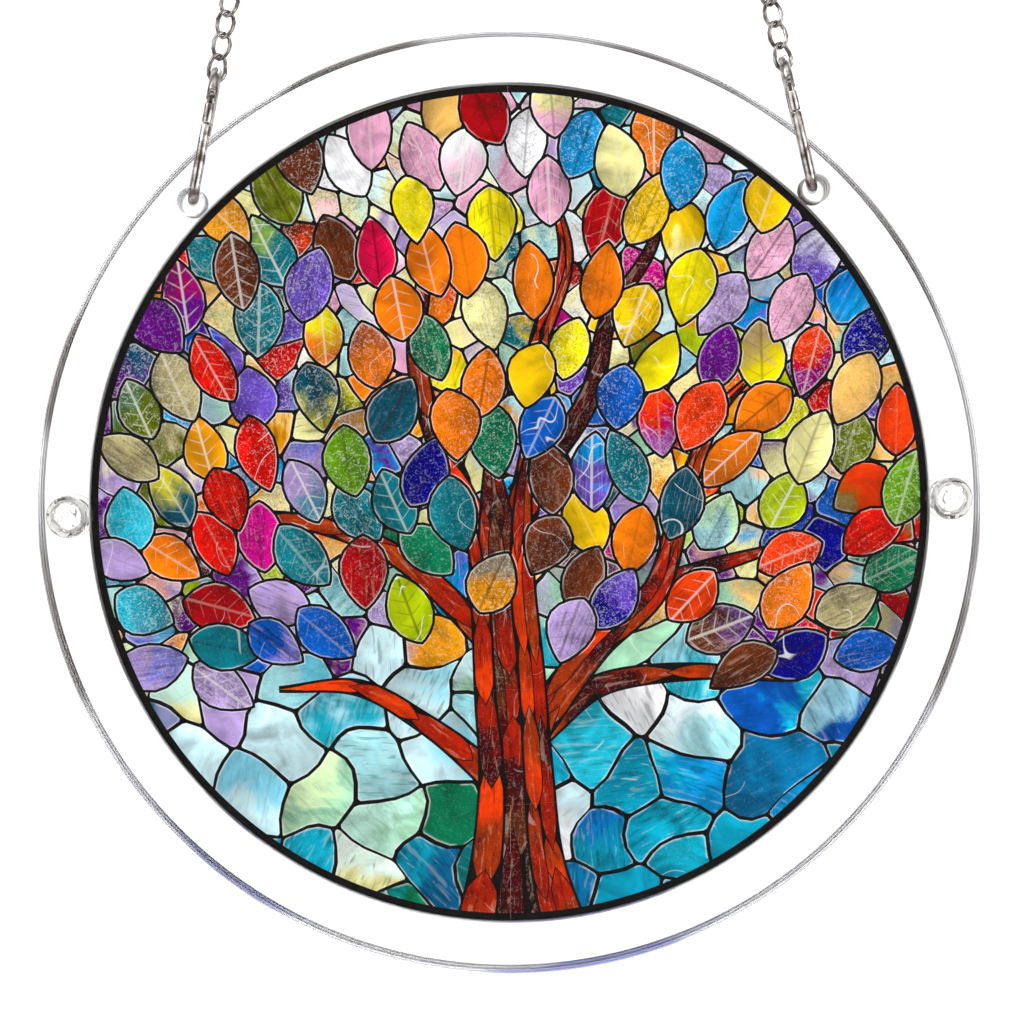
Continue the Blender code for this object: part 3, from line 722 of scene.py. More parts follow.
def pin_tool(place, radius, length):
    """A cylinder on the axis of the gate's pin."""
    bm = bmesh.new()
    bmesh.ops.create_cone(
        bm, cap_ends=True, segments=PIN_SEGMENTS, radius1=radius, radius2=radius, depth=length
    )
    bmesh.ops.rotate(bm, cent=(0, 0, 0), matrix=Matrix.Rotation(math.pi / 2, 3, "Y"), verts=bm.verts)
    bmesh.ops.translate(bm, vec=(0, -HOOK_BEND_RADIUS, PIN_HEIGHT), verts=bm.verts)
    bmesh.ops.transform(bm, matrix=place, verts=bm.verts)
    return bm


def round_ends(bm, rings):
    """Soften the cut ends of a wire."""
    ends = [e for ring in rings for v in ring for e in v.link_edges if e.other_vert(v) in ring]
    round_over(bm, list(set(ends)), WIRE_END_BEVEL)


def hook(side, x_sign):
    """A hook's wire, with the slot and the pin of its gate."""
    place = hook_place(x_sign)
    bm = bmesh.new()
    rings = sweep(bm, hook_route(), WIRE_RADIUS, WIRE_SIDES, WIRE_ACROSS)
    round_ends(bm, rings[:1])
    bmesh.ops.transform(bm, matrix=place, verts=bm.verts)
    piece = finish_piece(f"steel_hook_{side}", bm, (hook_steel,), nodes=(f"hook_{side}",))
    slot_size = (SLOT_WIDTH, 4 * WIRE_RADIUS, SLOT_TOP - SLOT_BOTTOM)
    slot_centre = (0, -HOOK_BEND_RADIUS, (SLOT_TOP + SLOT_BOTTOM) / 2)
    slot = box_tool(place, slot_size, slot_centre)
    carve(piece, [(slot, "DIFFERENCE"), (pin_tool(place, PIN_RADIUS, PIN_LENGTH), "UNION")])
    return piece


for side, x_sign in SIDES:
    print("hook faces:", len(hook(side, x_sign).data.polygons))

# %% [markdown]
# The gate is a short bar of the same wire. It narrows to a flat tongue that turns on the pin, so it is its own
# piece, and it rides on its own body.

# %% Gates
TONGUE_THICKNESS = 0.7 * MM
SHOULDER = 1.6 * MM
TONGUE_OVERLAP = SHOULDER / 2
BORE_CLEARANCE = 0.3 * MM


def gate(side, x_sign):
    """A gate: a bar with round ends, and a bored tongue on it."""
    place = hook_place(x_sign)
    leg = Vector((0, -HOOK_BEND_RADIUS, 0))
    bm = bmesh.new()
    route = [leg + Vector((0, 0, NOSE_END + GATE_GAP)), leg + Vector((0, 0, PIN_HEIGHT - SHOULDER))]
    round_ends(bm, sweep(bm, route, WIRE_RADIUS, WIRE_SIDES, WIRE_ACROSS))
    bmesh.ops.transform(bm, matrix=place, verts=bm.verts)
    name = f"hook_{side}_gate"
    piece = finish_piece(f"steel_gate_{side}", bm, (hook_steel,), body=f"gate_{side}", nodes=(name,))
    tongue_size = (TONGUE_THICKNESS, 2 * TONGUE_RADIUS, SHOULDER + TONGUE_OVERLAP)
    tongue_bar = box_tool(place, tongue_size, leg + Vector((0, 0, PIN_HEIGHT - tongue_size[2] / 2)))
    round_top = pin_tool(place, TONGUE_RADIUS, TONGUE_THICKNESS)
    bore = pin_tool(place, PIN_RADIUS + BORE_CLEARANCE, 3 * WIRE_RADIUS)
    carve(piece, [(tongue_bar, "UNION"), (round_top, "UNION"), (bore, "DIFFERENCE")])
    return piece


for side, x_sign in SIDES:
    print("gate faces:", len(gate(side, x_sign).data.polygons))

# %% [markdown]
# ## The chain
# The chain is a curb chain: each link is a bent oval of wire, twisted so that its two ends lie at a right angle
# and the links pass through one another neatly. One link is made as a closed sweep and repeated all along the
# side. It has only a few dozen faces, because there are more than a hundred of them.

# %% Chain
LINKS_PER_SIDE = 60
LINK_WIRE_RADIUS = 0.45 * MM
LINK_HALF = 2.8 * MM
LINK_HALF_WIDTH = 1.75 * MM
FIRST_LINK_FOOT = 1.85 * MM
LINK_PITCH = 4.6 * MM
FIRST_LINK = 28.45 * MM
LINK_TWIST = math.radians(45)
LINK_POINTS = 14
LINK_SIDES = 6
LINK_SIDE_POWER = 0.8
LINK_END_POWER = 0.9
LINK_SMOOTH_ANGLE = 80


def fuller(value, power):
    """A sine or cosine drawn out by a power under 1, which makes an oval squarer."""
    return math.copysign(abs(value) ** power, value)


def link_route(foot_half, foot_twist, top_twist):
    """Points round one link and the vector square to its plane at each of them."""
    route, across = [], []
    for k in range(LINK_POINTS):
        angle = 2 * math.pi * (k + 0.5) / LINK_POINTS
        across_share = fuller(math.cos(angle), LINK_SIDE_POWER)
        height = fuller(math.sin(angle), LINK_END_POWER)
        half = LINK_HALF_WIDTH if height > 0 else foot_half
        twist = (foot_twist + top_twist) / 2 + (top_twist - foot_twist) / 2 * height
        turn = Matrix.Rotation(twist, 3, "Z")
        route.append(turn @ Vector((half * across_share, 0, LINK_HALF * height)))
        across.append(turn @ Vector((0, 1, 0)))
    reach = max(p.z for p in route)
    return [Vector((p.x, p.y, p.z * LINK_HALF / reach)) for p in route], across


def add_link(bm, place, foot_half=LINK_HALF_WIDTH, foot_twist=-LINK_TWIST, top_twist=LINK_TWIST):
    """Add one link at a place."""
    route, across = link_route(foot_half, foot_twist, top_twist)
    rings = sweep(bm, route, LINK_WIRE_RADIUS, LINK_SIDES, across, closed=True)
    bmesh.ops.transform(bm, matrix=place, verts=[v for ring in rings for v in ring])


def finish_links(name, bm, node_name):
    """Finish a run of links as a piece."""
    return finish_piece(name, bm, (chain_steel,), nodes=(node_name,), smooth_angle=LINK_SMOOTH_ANGLE)


def chain(side, x_sign):
    """One side of the chain. Its first link lies across the hook, and its last across the middle link."""
    place = hook_place(x_sign, 0.0)
    bm = bmesh.new()
    special = {
        0: {"foot_half": FIRST_LINK_FOOT, "foot_twist": -x_sign * HOOK_TURN},
        LINKS_PER_SIDE - 1: {"top_twist": 0.0},
    }
    for k in range(LINKS_PER_SIDE):
        stand = Matrix.Translation((0, 0, FIRST_LINK + k * LINK_PITCH))
        add_link(bm, place @ stand, **special.get(k, {}))
    return finish_links(f"steel_chain_{side}", bm, f"chain_{side}")


for side, x_sign in SIDES:
    print("chain faces:", len(chain(side, x_sign).data.polygons))
lie_flat = Matrix(((0, 0, 1, 0), (1, 0, 0, 0), (0, 1, 0, 0), (0, 0, 0, 1)))
middle = bmesh.new()
add_link(middle, lie_flat, foot_twist=0.0, top_twist=0.0)
finish_links("steel_middle_link", middle, "chain_middle_link")
print("links:", 2 * LINKS_PER_SIDE + 1)

# %% [markdown]
# ## The puzzle's cut
# The picture is printed on acrylic and then cut by laser into interlocking pieces. Each solid piece gives its own
# outline. The rim is made round, the knobs are rounded as a laser cuts them, and every outline is moved outward
# a little, so that only a hair-fine kerf is left between neighbours.
#
# From here on the picture is drawn in millimetres about its own middle, in the plane of X and Z.

# %% Helpers for outlines
MITRE_LIMIT = 0.5


def neighbours(outline):
    """Each point of a closed outline with the next one."""
    return zip(outline, outline[1:] + outline[:1])


def right_of(direction):
    """A direction turned a quarter to the right."""
    return Vector((direction.y, -direction.x))


def at_angle(angle):
    """The direction at an angle, in radians from the right."""
    return Vector((math.cos(angle), math.sin(angle)))


def area(outline):
    """Area of an outline, positive where it runs anticlockwise."""
    return 0.5 * sum(a.x * b.y - a.y * b.x for a, b in neighbours(outline))


def anticlockwise(outline):
    """An outline in the order that goes round anticlockwise."""
    return outline if area(outline) > 0 else outline[::-1]


def grow(outline, distance):
    """Move an anticlockwise outline outward by a distance, or inward by a negative one."""
    moved = []
    for i, point in enumerate(outline):
        before = (point - outline[i - 1]).normalized()
        after = (outline[(i + 1) % len(outline)] - point).normalized()
        normal = Vector((before.y + after.y, -before.x - after.x))
        if normal.length < SAME_PLACE:
            moved.append(point.copy())
            continue
        normal.normalize()
        spread = max(MITRE_LIMIT, normal.dot(right_of(before)))
        moved.append(point + normal * (distance / spread))
    return moved


def smooth_line(places, steps):
    """Points on a smooth line through places. Each place may carry a width as well."""
    rows = [places[0] * 2 - places[1]] + places + [places[-1] * 2 - places[-2]]
    result = []
    for a, b, c, d in zip(rows, rows[1:], rows[2:], rows[3:]):
        for k in range(steps):
            t = k / steps
            square, cube = 2 * a - 5 * b + 4 * c - d, 3 * b - a - 3 * c + d
            result.append(0.5 * (2 * b + (c - a) * t + square * t**2 + cube * t**3))
    return result + [places[-1]]


print("outline helpers ready")

# %% Outlines of the pieces
PICTURE_RADIUS = 88.8
KERF_CLOSING = 0.143
KNOB_EDGE = 3.75
KNOB_STEPS = 4
RIM_PARTS = 5
RIM_CORNER_MARGIN = 0.5
RIM_POINT_MARGIN = 0.3
FRONT_DEPTH = 0.01 * MM


def front_outline(node_name):
    """The outline of a solid's front face, anticlockwise."""
    mesh = bpy.data.objects[node_name].data
    low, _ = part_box(node_name)
    bm = bmesh.new()
    bm.from_mesh(mesh)
    bmesh.ops.remove_doubles(bm, verts=bm.verts, dist=SAME_PLACE)
    away = [f for f in bm.faces if any(v.co.y > low.y + FRONT_DEPTH for v in f.verts)]
    bmesh.ops.delete(bm, geom=away, context="FACES")
    edge = next(e for e in bm.edges if len(e.link_faces) == 1)
    loop = [edge.verts[0], edge.verts[1]]
    while True:
        ahead = [e.other_vert(loop[-1]) for e in loop[-1].link_edges if len(e.link_faces) == 1]
        following = next(v for v in ahead if v is not loop[-2])
        if following is loop[0]:
            break
        loop.append(following)
    outline = [Vector(((v.co.x - CENTRE.x) / MM, (v.co.z - CENTRE.z) / MM)) for v in loop]
    bm.free()
    return anticlockwise(outline)


def round_knobs(outline):
    """Draw each knob as a smooth curve through its corners, and put more points on the rim."""
    count = len(outline)
    short = [(b - a).length < KNOB_EDGE for a, b in neighbours(outline)]
    start = next(i for i in range(count) if not short[i - 1] and not short[i])
    result, run = [], []
    for step in range(count):
        i = (start + step) % count
        point, after = outline[i], outline[(i + 1) % count]
        run.append(point)
        if short[i]:
            continue
        result += smooth_line(run, KNOB_STEPS) if len(run) > 2 else run
        run = []
        if min(point.length, after.length) > PICTURE_RADIUS - RIM_CORNER_MARGIN:
            for k in range(1, RIM_PARTS):
                result.append(point.lerp(after, k / RIM_PARTS).normalized() * PICTURE_RADIUS)
    result += run
    rim_from = PICTURE_RADIUS - RIM_POINT_MARGIN
    return [p.normalized() * PICTURE_RADIUS if p.length > rim_from else p for p in result]


piece_outlines = [grow(round_knobs(front_outline(name)), KERF_CLOSING) for name in PUZZLE_NODES]
print("outlines:", len(piece_outlines), "points:", sum(len(o) for o in piece_outlines))

# %% [markdown]
# ## Drawing the picture
# The picture is a tree in the manner of stained glass: panes of colour between black lines. It could be painted
# as an image, but lines drawn as real edges stay sharp from any distance. So each pane is drawn as an outline in
# the plane, later panes cover earlier ones, and the whole drawing is cut into triangles in one step.
#
# A pane is kept as a small record: its outline, its two colours, and how its glass is worked.

# %% Panes
chance = random.Random(11)
panes = []
LEAD = 0.58
BARK_LEAD = 0.24
EDGE_BAND = 0.4
PANE_HALF = 8.0
SCREEN_PAINTS = {
    "crimson": (0.66, 0.02, 0.07),
    "red": (0.86, 0.08, 0.05),
    "scarlet": (0.95, 0.25, 0.05),
    "orange": (0.97, 0.50, 0.10),
    "amber": (0.98, 0.68, 0.30),
    "peach": (0.97, 0.80, 0.55),
    "gold": (0.98, 0.80, 0.10),
    "yellow": (0.98, 0.92, 0.35),
    "cream": (0.98, 0.96, 0.72),
    "lime": (0.74, 0.82, 0.16),
    "leaf_green": (0.42, 0.62, 0.10),
    "olive": (0.42, 0.47, 0.08),
    "moss": (0.28, 0.36, 0.10),
    "green": (0.05, 0.48, 0.33),
    "teal": (0.03, 0.47, 0.52),
    "petrol": (0.02, 0.30, 0.38),
    "navy": (0.10, 0.10, 0.50),
    "blue": (0.03, 0.36, 0.74),
    "sky": (0.20, 0.62, 0.86),
    "purple": (0.42, 0.16, 0.52),
    "violet": (0.50, 0.42, 0.76),
    "lilac": (0.74, 0.66, 0.84),
    "magenta": (0.78, 0.06, 0.52),
    "rose": (0.84, 0.04, 0.28),
    "pink": (0.93, 0.72, 0.82),
    "maroon": (0.30, 0.02, 0.03),
    "brown": (0.40, 0.22, 0.16),
    "bark_red": (0.66, 0.13, 0.05),
    "rust": (0.66, 0.22, 0.08),
    "dark_bark": (0.16, 0.04, 0.03),
    "white": (0.97, 0.97, 0.98),
    "ice": (0.84, 0.95, 0.97),
    "pale_aqua": (0.70, 0.88, 0.90),
    "mint": (0.72, 0.90, 0.78),
    "aqua": (0.38, 0.76, 0.84),
    "turquoise": (0.05, 0.62, 0.74),
    "deep_water": (0.02, 0.42, 0.60),
    "sand": (0.70, 0.66, 0.50),
}


def paint(red, green, blue):
    """A colour as it looks on screen, turned into the linear values that shaders use."""
    return tuple(c / 12.92 if c <= 0.04045 else ((c + 0.055) / 1.055) ** 2.4 for c in (red, green, blue))


PAINTS = {name: paint(*screen) for name, screen in SCREEN_PAINTS.items()}


def add_pane(outline, colours, grain, axis, lead=LEAD, inner=None, vein=0.0, work=(0.0, 0.5, 0.5), black=False):
    """Add a pane with its black line round it.

    Axis is (middle, direction, half length, half width). Work is how strong its streaks, its scratches and the
    change from its first colour to its second are. A black pane is black line paint all over and needs no axis.
    """
    record = {"outline": outline, "colours": [PAINTS[name] for name in colours], "seed": chance.random()}
    record.update(grain=grain, vein=vein, axis=axis, lead=lead, inner=inner, work=work, black=black)
    panes.append(record)


print("paints:", len(PAINTS))

# %% [markdown]
# Behind the tree lies a ground of many-sided panes. Seeds are strewn with an even spacing, small in the crown
# and larger in the sky below it, and each pane is the area nearest to its seed.

# %% Seeds of the ground panes
CROWN_FOOT = -22.0
CROWN_DROOP = 0.20
CROWN_FADE = 14
CROWN_SPACING = 7.0
SKY_EXTRA_SPACING = 6.0
SPACING_SPREAD = (0.75, 1.3)
SEED_TRIES = 9000
SEED_MARGIN = 6


def crown_share(place):
    """1 in the crown, 0 in the open sky below it. The crown comes down lower at the sides."""
    foot = CROWN_FOOT - CROWN_DROOP * abs(place.x)
    return min(1.0, max(0.0, (place.y - foot) / CROWN_FADE + 0.5))


def random_place(radius):
    """A place in a disc, with the same chance everywhere."""
    angle, share = chance.random() * 2 * math.pi, chance.random()
    return at_angle(angle) * radius * math.sqrt(share)


def strew(spacing_at, tries, radius):
    """Points that keep a spacing which may vary over the disc and from point to point."""
    kept = []
    for _ in range(tries):
        place = random_place(radius)
        spacing = spacing_at(place) * chance.uniform(*SPACING_SPREAD)
        if all((place - other).length > spacing for other in kept):
            kept.append(place)
    return kept


def seed_spacing(place):
    """The spacing of the ground's seeds at a place."""
    return CROWN_SPACING + SKY_EXTRA_SPACING * (1 - crown_share(place))


ground_seeds = strew(seed_spacing, SEED_TRIES, PICTURE_RADIUS + SEED_MARGIN)
print("ground panes:", len(ground_seeds))

# %% Shapes of the ground panes
CORNER_SHARE = 0.3
CORNER_CUT = 0.4
BEND_STEP = 3.0
WAVES_RIGHT = ((1.5, 0.0, 0.21, 1.0), (1.2, 0.13, 0.33, 0.0))
WAVES_UP = ((1.4, 0.19, 0.0, 2.0), (1.1, 0.31, -0.12, 0.0))


def nearest_area(seed, seeds, radius, inset):
    """The area nearer to a seed than to any other, less an inset: a square cut by half plane after half plane."""
    outline = [seed + Vector(corner) * radius for corner in ((-1, -1), (1, -1), (1, 1), (-1, 1))]
    for other in seeds:
        gap = other - seed
        if other is seed or gap.length > 2 * radius:
            continue
        normal, limit = gap.normalized(), gap.length / 2 - inset
        kept = []
        for a, b in neighbours(outline):
            side_a, side_b = (a - seed).dot(normal) - limit, (b - seed).dot(normal) - limit
            if side_a <= 0:
                kept.append(a)
            if side_a * side_b < 0:
                kept.append(a.lerp(b, side_a / (side_a - side_b)))
        outline = kept
    return outline


def soften(outline):
    """Cut the corners of an outline a little."""
    result = []
    for i, point in enumerate(outline):
        for other in (outline[i - 1], outline[(i + 1) % len(outline)]):
            length = (other - point).length
            result.append(point.lerp(other, min(CORNER_CUT, CORNER_SHARE * length) / max(length, 1e-9)))
    return result


def waves_at(x, y, waves):
    """The sum of some waves at a place. Each is (height, radians a mm along x, the same along y, start)."""
    return sum(height * math.sin(x * along_x + y * along_y + start) for height, along_x, along_y, start in waves)


def wave(place):
    """Bend straight lines, the same way for all panes."""
    x, y = place
    return Vector((x + waves_at(x, y, WAVES_RIGHT), y + waves_at(x, y, WAVES_UP)))


def bend(outline):
    """Put points along the edges of an outline and bend them."""
    result = []
    for a, b in neighbours(outline):
        parts = max(1, round((b - a).length / BEND_STEP))
        result += [wave(a.lerp(b, k / parts)) for k in range(parts)]
    return result


print("the picture's middle is bent to", tuple(round(c, 2) for c in wave((0.0, 0.0))))

# %% [markdown]
# The colours follow broad areas, as a glass painter plans them: warm and cool patches in the crown, pale panes
# near its top and its middle, and watery blues and greens below. Each row is an area's middle and its colours; a
# colour that stands there twice comes up twice as often.

# %% Colour areas


def areas(rows):
    """Colour areas from rows of (x, y, names of colours)."""
    return [(Vector((x, y)), names.split()) for x, y, names in rows]


CROWN_AREAS = areas([
    (-52, 60, "orange scarlet brown lime olive red amber teal"),
    (-20, 74, "amber orange white peach crimson pink white"),
    (6, 72, "cream pink white white cream cream"),
    (36, 70, "sky orange cream teal blue gold"),
    (60, 50, "lilac pink white blue violet sky"),
    (-70, 40, "red orange teal purple crimson petrol"),
    (-44, 44, "teal petrol crimson yellow blue violet"),
    (-22, 52, "rose crimson lime orange red yellow"),
    (4, 50, "yellow cream teal orange crimson cream gold"),
    (28, 46, "gold orange magenta yellow rose teal"),
    (50, 30, "scarlet lime yellow red orange purple"),
    (74, 24, "navy orange peach aqua red blue"),
    (-78, 20, "yellow olive sand teal petrol olive"),
    (-56, 14, "red magenta crimson amber crimson sky"),
    (-32, 20, "orange amber moss leaf_green yellow petrol"),
    (-10, 22, "navy orange amber green scarlet blue"),
    (12, 18, "gold blue orange violet sky white"),
    (32, 14, "yellow olive violet scarlet petrol teal"),
    (56, 8, "yellow maroon lime orange olive cream"),
    (78, 6, "scarlet olive green orange leaf_green red"),
    (-74, -6, "lilac maroon purple orange violet aqua"),
    (-44, -6, "amber scarlet teal peach lilac lime"),
    (-18, -8, "green teal amber crimson navy pale_aqua"),
    (14, -10, "navy gold violet brown lilac scarlet"),
    (40, -12, "yellow scarlet cream lime pale_aqua orange"),
    (70, -14, "green crimson scarlet olive navy sand"),
    (-60, -34, "lilac crimson purple lime blue teal"),
    (-34, -32, "lime purple blue navy crimson sky"),
    (48, -38, "leaf_green brown violet green crimson orange"),
    (70, -36, "navy scarlet lilac olive blue violet"),
])
SKY_AREAS = areas([
    (-70, -40, "lilac pale_aqua cream teal"),
    (-50, -60, "turquoise pale_aqua aqua ice"),
    (-24, -44, "ice pale_aqua aqua ice"),
    (-30, -70, "mint cream ice mint"),
    (-14, -84, "deep_water turquoise teal green"),
    (16, -34, "pale_aqua ice aqua mint"),
    (20, -56, "ice mint white pale_aqua"),
    (36, -70, "turquoise sky aqua turquoise"),
    (26, -84, "deep_water green turquoise blue"),
    (60, -60, "turquoise deep_water aqua sky"),
    (74, -34, "sky blue pale_aqua aqua"),
])
TOP_GROUND = "white cream pink ice lilac pale_aqua".split()
MIDDLE_GROUND = "lilac pale_aqua sky peach cream violet blue mint amber purple".split()
print("colour areas:", len(CROWN_AREAS), "in the crown and", len(SKY_AREAS), "below")

# %% Lay the ground panes
AREA_WANDER = 9
GROUND_LEAD = 0.30
SKY_EXTRA_LEAD = 0.08
GROUND_REACH = 20.0
BRIGHT_GROUND_SHARE = 0.35


def area_colours(place, choices):
    """The colours of the colour area nearest to a place, with a little wander over the borders."""
    shift = (chance.uniform(-AREA_WANDER, AREA_WANDER), chance.uniform(-AREA_WANDER, AREA_WANDER))
    wandered = place + Vector(shift)
    return min(choices, key=lambda choice: (choice[0] - wandered).length)[1]


def near_top(place):
    """True in the middle of the crown's upper part and along the picture's upper rim."""
    return place.y > 30 and abs(place.x) < 46 or place.length > 80 and place.y > 60


def ground_pane(seed):
    """One pane of the ground: its shape, its colours and how its glass is worked."""
    lead = GROUND_LEAD + SKY_EXTRA_LEAD * (1 - crown_share(seed))
    insets = (lead, lead + EDGE_BAND)
    outline, inner = (bend(soften(nearest_area(seed, ground_seeds, GROUND_REACH, i))) for i in insets)
    if crown_share(seed) > 0.5:
        colours = TOP_GROUND if near_top(seed) else MIDDLE_GROUND
        if chance.random() < BRIGHT_GROUND_SHARE:
            colours = area_colours(seed, CROWN_AREAS)
        grain = chance.choice((0.2, 0.5, 0.9))
    else:
        colours = area_colours(seed, SKY_AREAS)
        grain = chance.choice((0.05, 0.15))
    axis = (seed, at_angle(chance.uniform(0, math.pi)), PANE_HALF, PANE_HALF)
    work = (chance.choice((0.0, 0.3, 0.7)), chance.choice((0.0, 0.0, 0.6)), chance.uniform(0.4, 1.0))
    pair = (chance.choice(colours), chance.choice(colours))
    add_pane(outline, pair, grain, axis, lead=0.0, inner=inner, work=work)


for seed in ground_seeds:
    ground_pane(seed)
print("panes so far:", len(panes))

# %% [markdown]
# ## The tree
# Trunk and branches are strokes: a line through a few places, with a width at each. Every stroke is black below,
# with long panes of bark on it that come to a point at both ends, as bark is done in leaded glass.

# %% Shapes of the bark
TONGUE_SLIMMING = 0.12
LEAST_TONGUE = 0.05
TONGUE_FOOT, TONGUE_FOOT_POWER = 0.22, 0.7
TONGUE_TIP, TONGUE_TIP_POWER = 0.28, 0.8


def frame_at(line, i):
    """The directions along and across a line at one of its points."""
    ahead = (line[min(i + 1, len(line) - 1)] - line[max(i - 1, 0)]).xy.normalized()
    return ahead, right_of(ahead)


def strip(line):
    """The outline of a strip along a line, with the line's own width."""
    left, right = [], []
    for i, row in enumerate(line):
        _, across = frame_at(line, i)
        left.append(row.xy + across * -row.z)
        right.append(row.xy + across * row.z)
    return anticlockwise(right + left[::-1])


def bark_pane(line, start, end, low, high):
    """The outline of a pane of bark from one point of a line to another, between two shares of its width."""
    left, right = [], []
    for i in range(start, end + 1):
        share = (i - start) / (end - start)
        foot, tip = (share / TONGUE_FOOT) ** TONGUE_FOOT_POWER, ((1 - share) / TONGUE_TIP) ** TONGUE_TIP_POWER
        _, across = frame_at(line, i)
        middle, half = line[i].z * (low + high) / 2, line[i].z * (high - low) / 2
        half = max(LEAST_TONGUE, half - TONGUE_SLIMMING) * min(1.0, foot, tip)
        left.append(line[i].xy + across * (middle - half))
        right.append(line[i].xy + across * (middle + half))
    return anticlockwise(right + left[-2:0:-1])


print("a bark pane opens over", TONGUE_FOOT, "and closes over", TONGUE_TIP, "of its length")

# %% Strokes
STROKE_STEPS = 9
STROKE_MARGIN = 0.45
BARK_PANE_LENGTH = 26.0
PANE_LENGTH_SPREAD = (0.7, 1.3)
FIRST_PANE_HIDDEN = (0.1, 0.6)
PANE_STEP_SHARE = (0.6, 0.75)
LAST_PANE_MARGIN = 3
LEAST_PANE_POINTS = 4
ROW_LOW_SHIFT = (-0.25, 0.1)
ROW_HIGH_SHIFT = (-0.1, 0.25)
BARK_GRAIN = 0.22
BARK_WORK = (0.8, 0.3, 1.0)
bark_lines = []


def bark_spans(rows, total):
    """Where the panes of a stroke start and end along it, in a mixed order, so that they overlap by chance."""
    spans = []
    for row in range(rows):
        start_at = -chance.uniform(*FIRST_PANE_HIDDEN) * BARK_PANE_LENGTH
        while start_at < total - LAST_PANE_MARGIN:
            end_at = start_at + BARK_PANE_LENGTH * chance.uniform(*PANE_LENGTH_SPREAD)
            spans.append((row, start_at, end_at))
            start_at += (end_at - start_at) * chance.uniform(*PANE_STEP_SHARE)
    chance.shuffle(spans)
    return spans


def bark_stroke(colours, rows, *places):
    """A stroke of bark: black under it, and long pointed panes of bark on top, in one row or more."""
    line = smooth_line([Vector(p) for p in places], STROKE_STEPS)
    bark_lines.append(line)
    under = strip([Vector((r.x, r.y, r.z + STROKE_MARGIN)) for r in line])
    add_pane(under, ("dark_bark", "dark_bark"), 0.0, None, lead=0.0, black=True)
    lengths = [0.0]
    for a, b in zip(line, line[1:]):
        lengths.append(lengths[-1] + (b - a).xy.length)
    for row, start_at, end_at in bark_spans(rows, lengths[-1]):
        low = -1 + 2 * row / rows + (chance.uniform(*ROW_LOW_SHIFT) if row else 0.0)
        high = -1 + 2 * (row + 1) / rows + (chance.uniform(*ROW_HIGH_SHIFT) if row < rows - 1 else 0.0)
        inside = [i for i, length in enumerate(lengths) if start_at <= length <= end_at]
        if len(inside) < LEAST_PANE_POINTS:
            continue
        start, end = inside[0], inside[-1]
        ahead = (line[end] - line[start]).xy.normalized()
        axis = ((line[end] + line[start]).xy / 2, ahead, PANE_HALF, PANE_HALF)
        pair = (chance.choice(colours), chance.choice(colours))
        outline = bark_pane(line, start, end, low, high)
        add_pane(outline, pair, BARK_GRAIN, axis, lead=BARK_LEAD, work=BARK_WORK)


print("strokes ready")

# %% [markdown]
# Each place of a stroke is (x, y, half width). Branches come first and the trunk last, so that it covers them.

# %% Trunk and branches
BARK_REDS = "bark_red rust bark_red rust maroon scarlet".split()
BARK_DARKS = "maroon dark_bark brown maroon bark_red".split()
STROKES = [
    (BARK_DARKS, 1, (31, -17, 1.8), (45, -13, 1.4), (60, -9, 0.3)),
    (BARK_REDS, 1, (0, -54, 3.0), (8, -46, 2.8), (20, -38, 2.1), (40, -36, 1.5), (58, -38, 0.3)),
    (BARK_REDS, 1, (0, -64, 2.8), (-8, -55, 2.6), (-19, -46, 1.9), (-33, -38, 1.5), (-50, -38, 0.3)),
    (BARK_REDS, 1, (0, -34, 2.8), (-20, -13, 2.2), (-37, -4, 1.7), (-56, -1, 1.0), (-68, -4, 0.3)),
    (BARK_REDS, 2, (-2, -56, 3.8), (6, -45, 3.6), (18, -30, 3.0), (31, -18, 2.5),
     (37, 1, 1.9), (44, 18, 1.2), (52, 27, 0.3)),
    (BARK_REDS, 1, (-3, -12, 3.0), (-14, 12, 2.3), (-19, 32, 1.8), (-17, 52, 1.2), (-21, 68, 0.3)),
    (BARK_DARKS, 1, (2, 2, 2.6), (17, 22, 2.1), (22, 40, 1.5), (31, 54, 1.0), (35, 68, 0.3)),
    (BARK_REDS, 2, (0, -12, 3.6), (6, 14, 2.7), (7, 34, 2.0), (13, 52, 1.4), (10, 68, 0.3)),
    (BARK_DARKS, 3, (-1, -94, 9.4), (-1, -76, 7.4), (0, -56, 6.2), (-1, -36, 5.4),
     (-2, -16, 4.9), (-3, 0, 3.0), (-4, 13, 0.4)),
    (BARK_REDS, 2, (11, -94, 4.8), (6.5, -76, 3.4), (5, -56, 2.9), (4, -36, 2.6),
     (2.5, -16, 2.4), (3, 2, 1.6), (5, 14, 0.3)),
    (BARK_REDS, 1, (-10, -94, 4.2), (-6.5, -76, 3.1), (-5, -58, 2.5), (-6, -40, 2.0),
     (-6.5, -22, 1.8), (-8, -6, 1.0), (-11, 6, 0.3)),
]
for stroke in STROKES:
    bark_stroke(*stroke)
print("panes with the tree:", len(panes))

# %% [markdown]
# ## The leaves
# Each leaf is a pointed oval. Leaves are strewn with an even spacing too, measured along and across the leaf, so
# that they lie like scales. Most hang or stand upright; towards the sides they lean outward. Most of those that
# would hide the middle of a thicker branch are left out.

# %% Shape of a leaf
LEAF_STEPS = 10
LEAF_POWER = 0.8


def leaf_outline(place, along, length, width, fullness, sway):
    """A pointed oval: fullness shifts its widest place along it, and sway bends it."""
    half = []
    for k in range(1, LEAF_STEPS):
        s = -math.cos(math.pi * k / LEAF_STEPS)
        half.append((s, (1 - s * s) ** LEAF_POWER * (1 + fullness * s)))
    rows = [(-1.0, 0.0)] + half + [(1.0, 0.0)] + [(s, -wide) for s, wide in reversed(half)]
    across = right_of(along)
    bent = [place + along * (s * length / 2) + across * (t * width / 2 + sway * s * s) for s, t in rows]
    return anticlockwise(bent)


print("points on a leaf:", 2 * LEAF_STEPS)

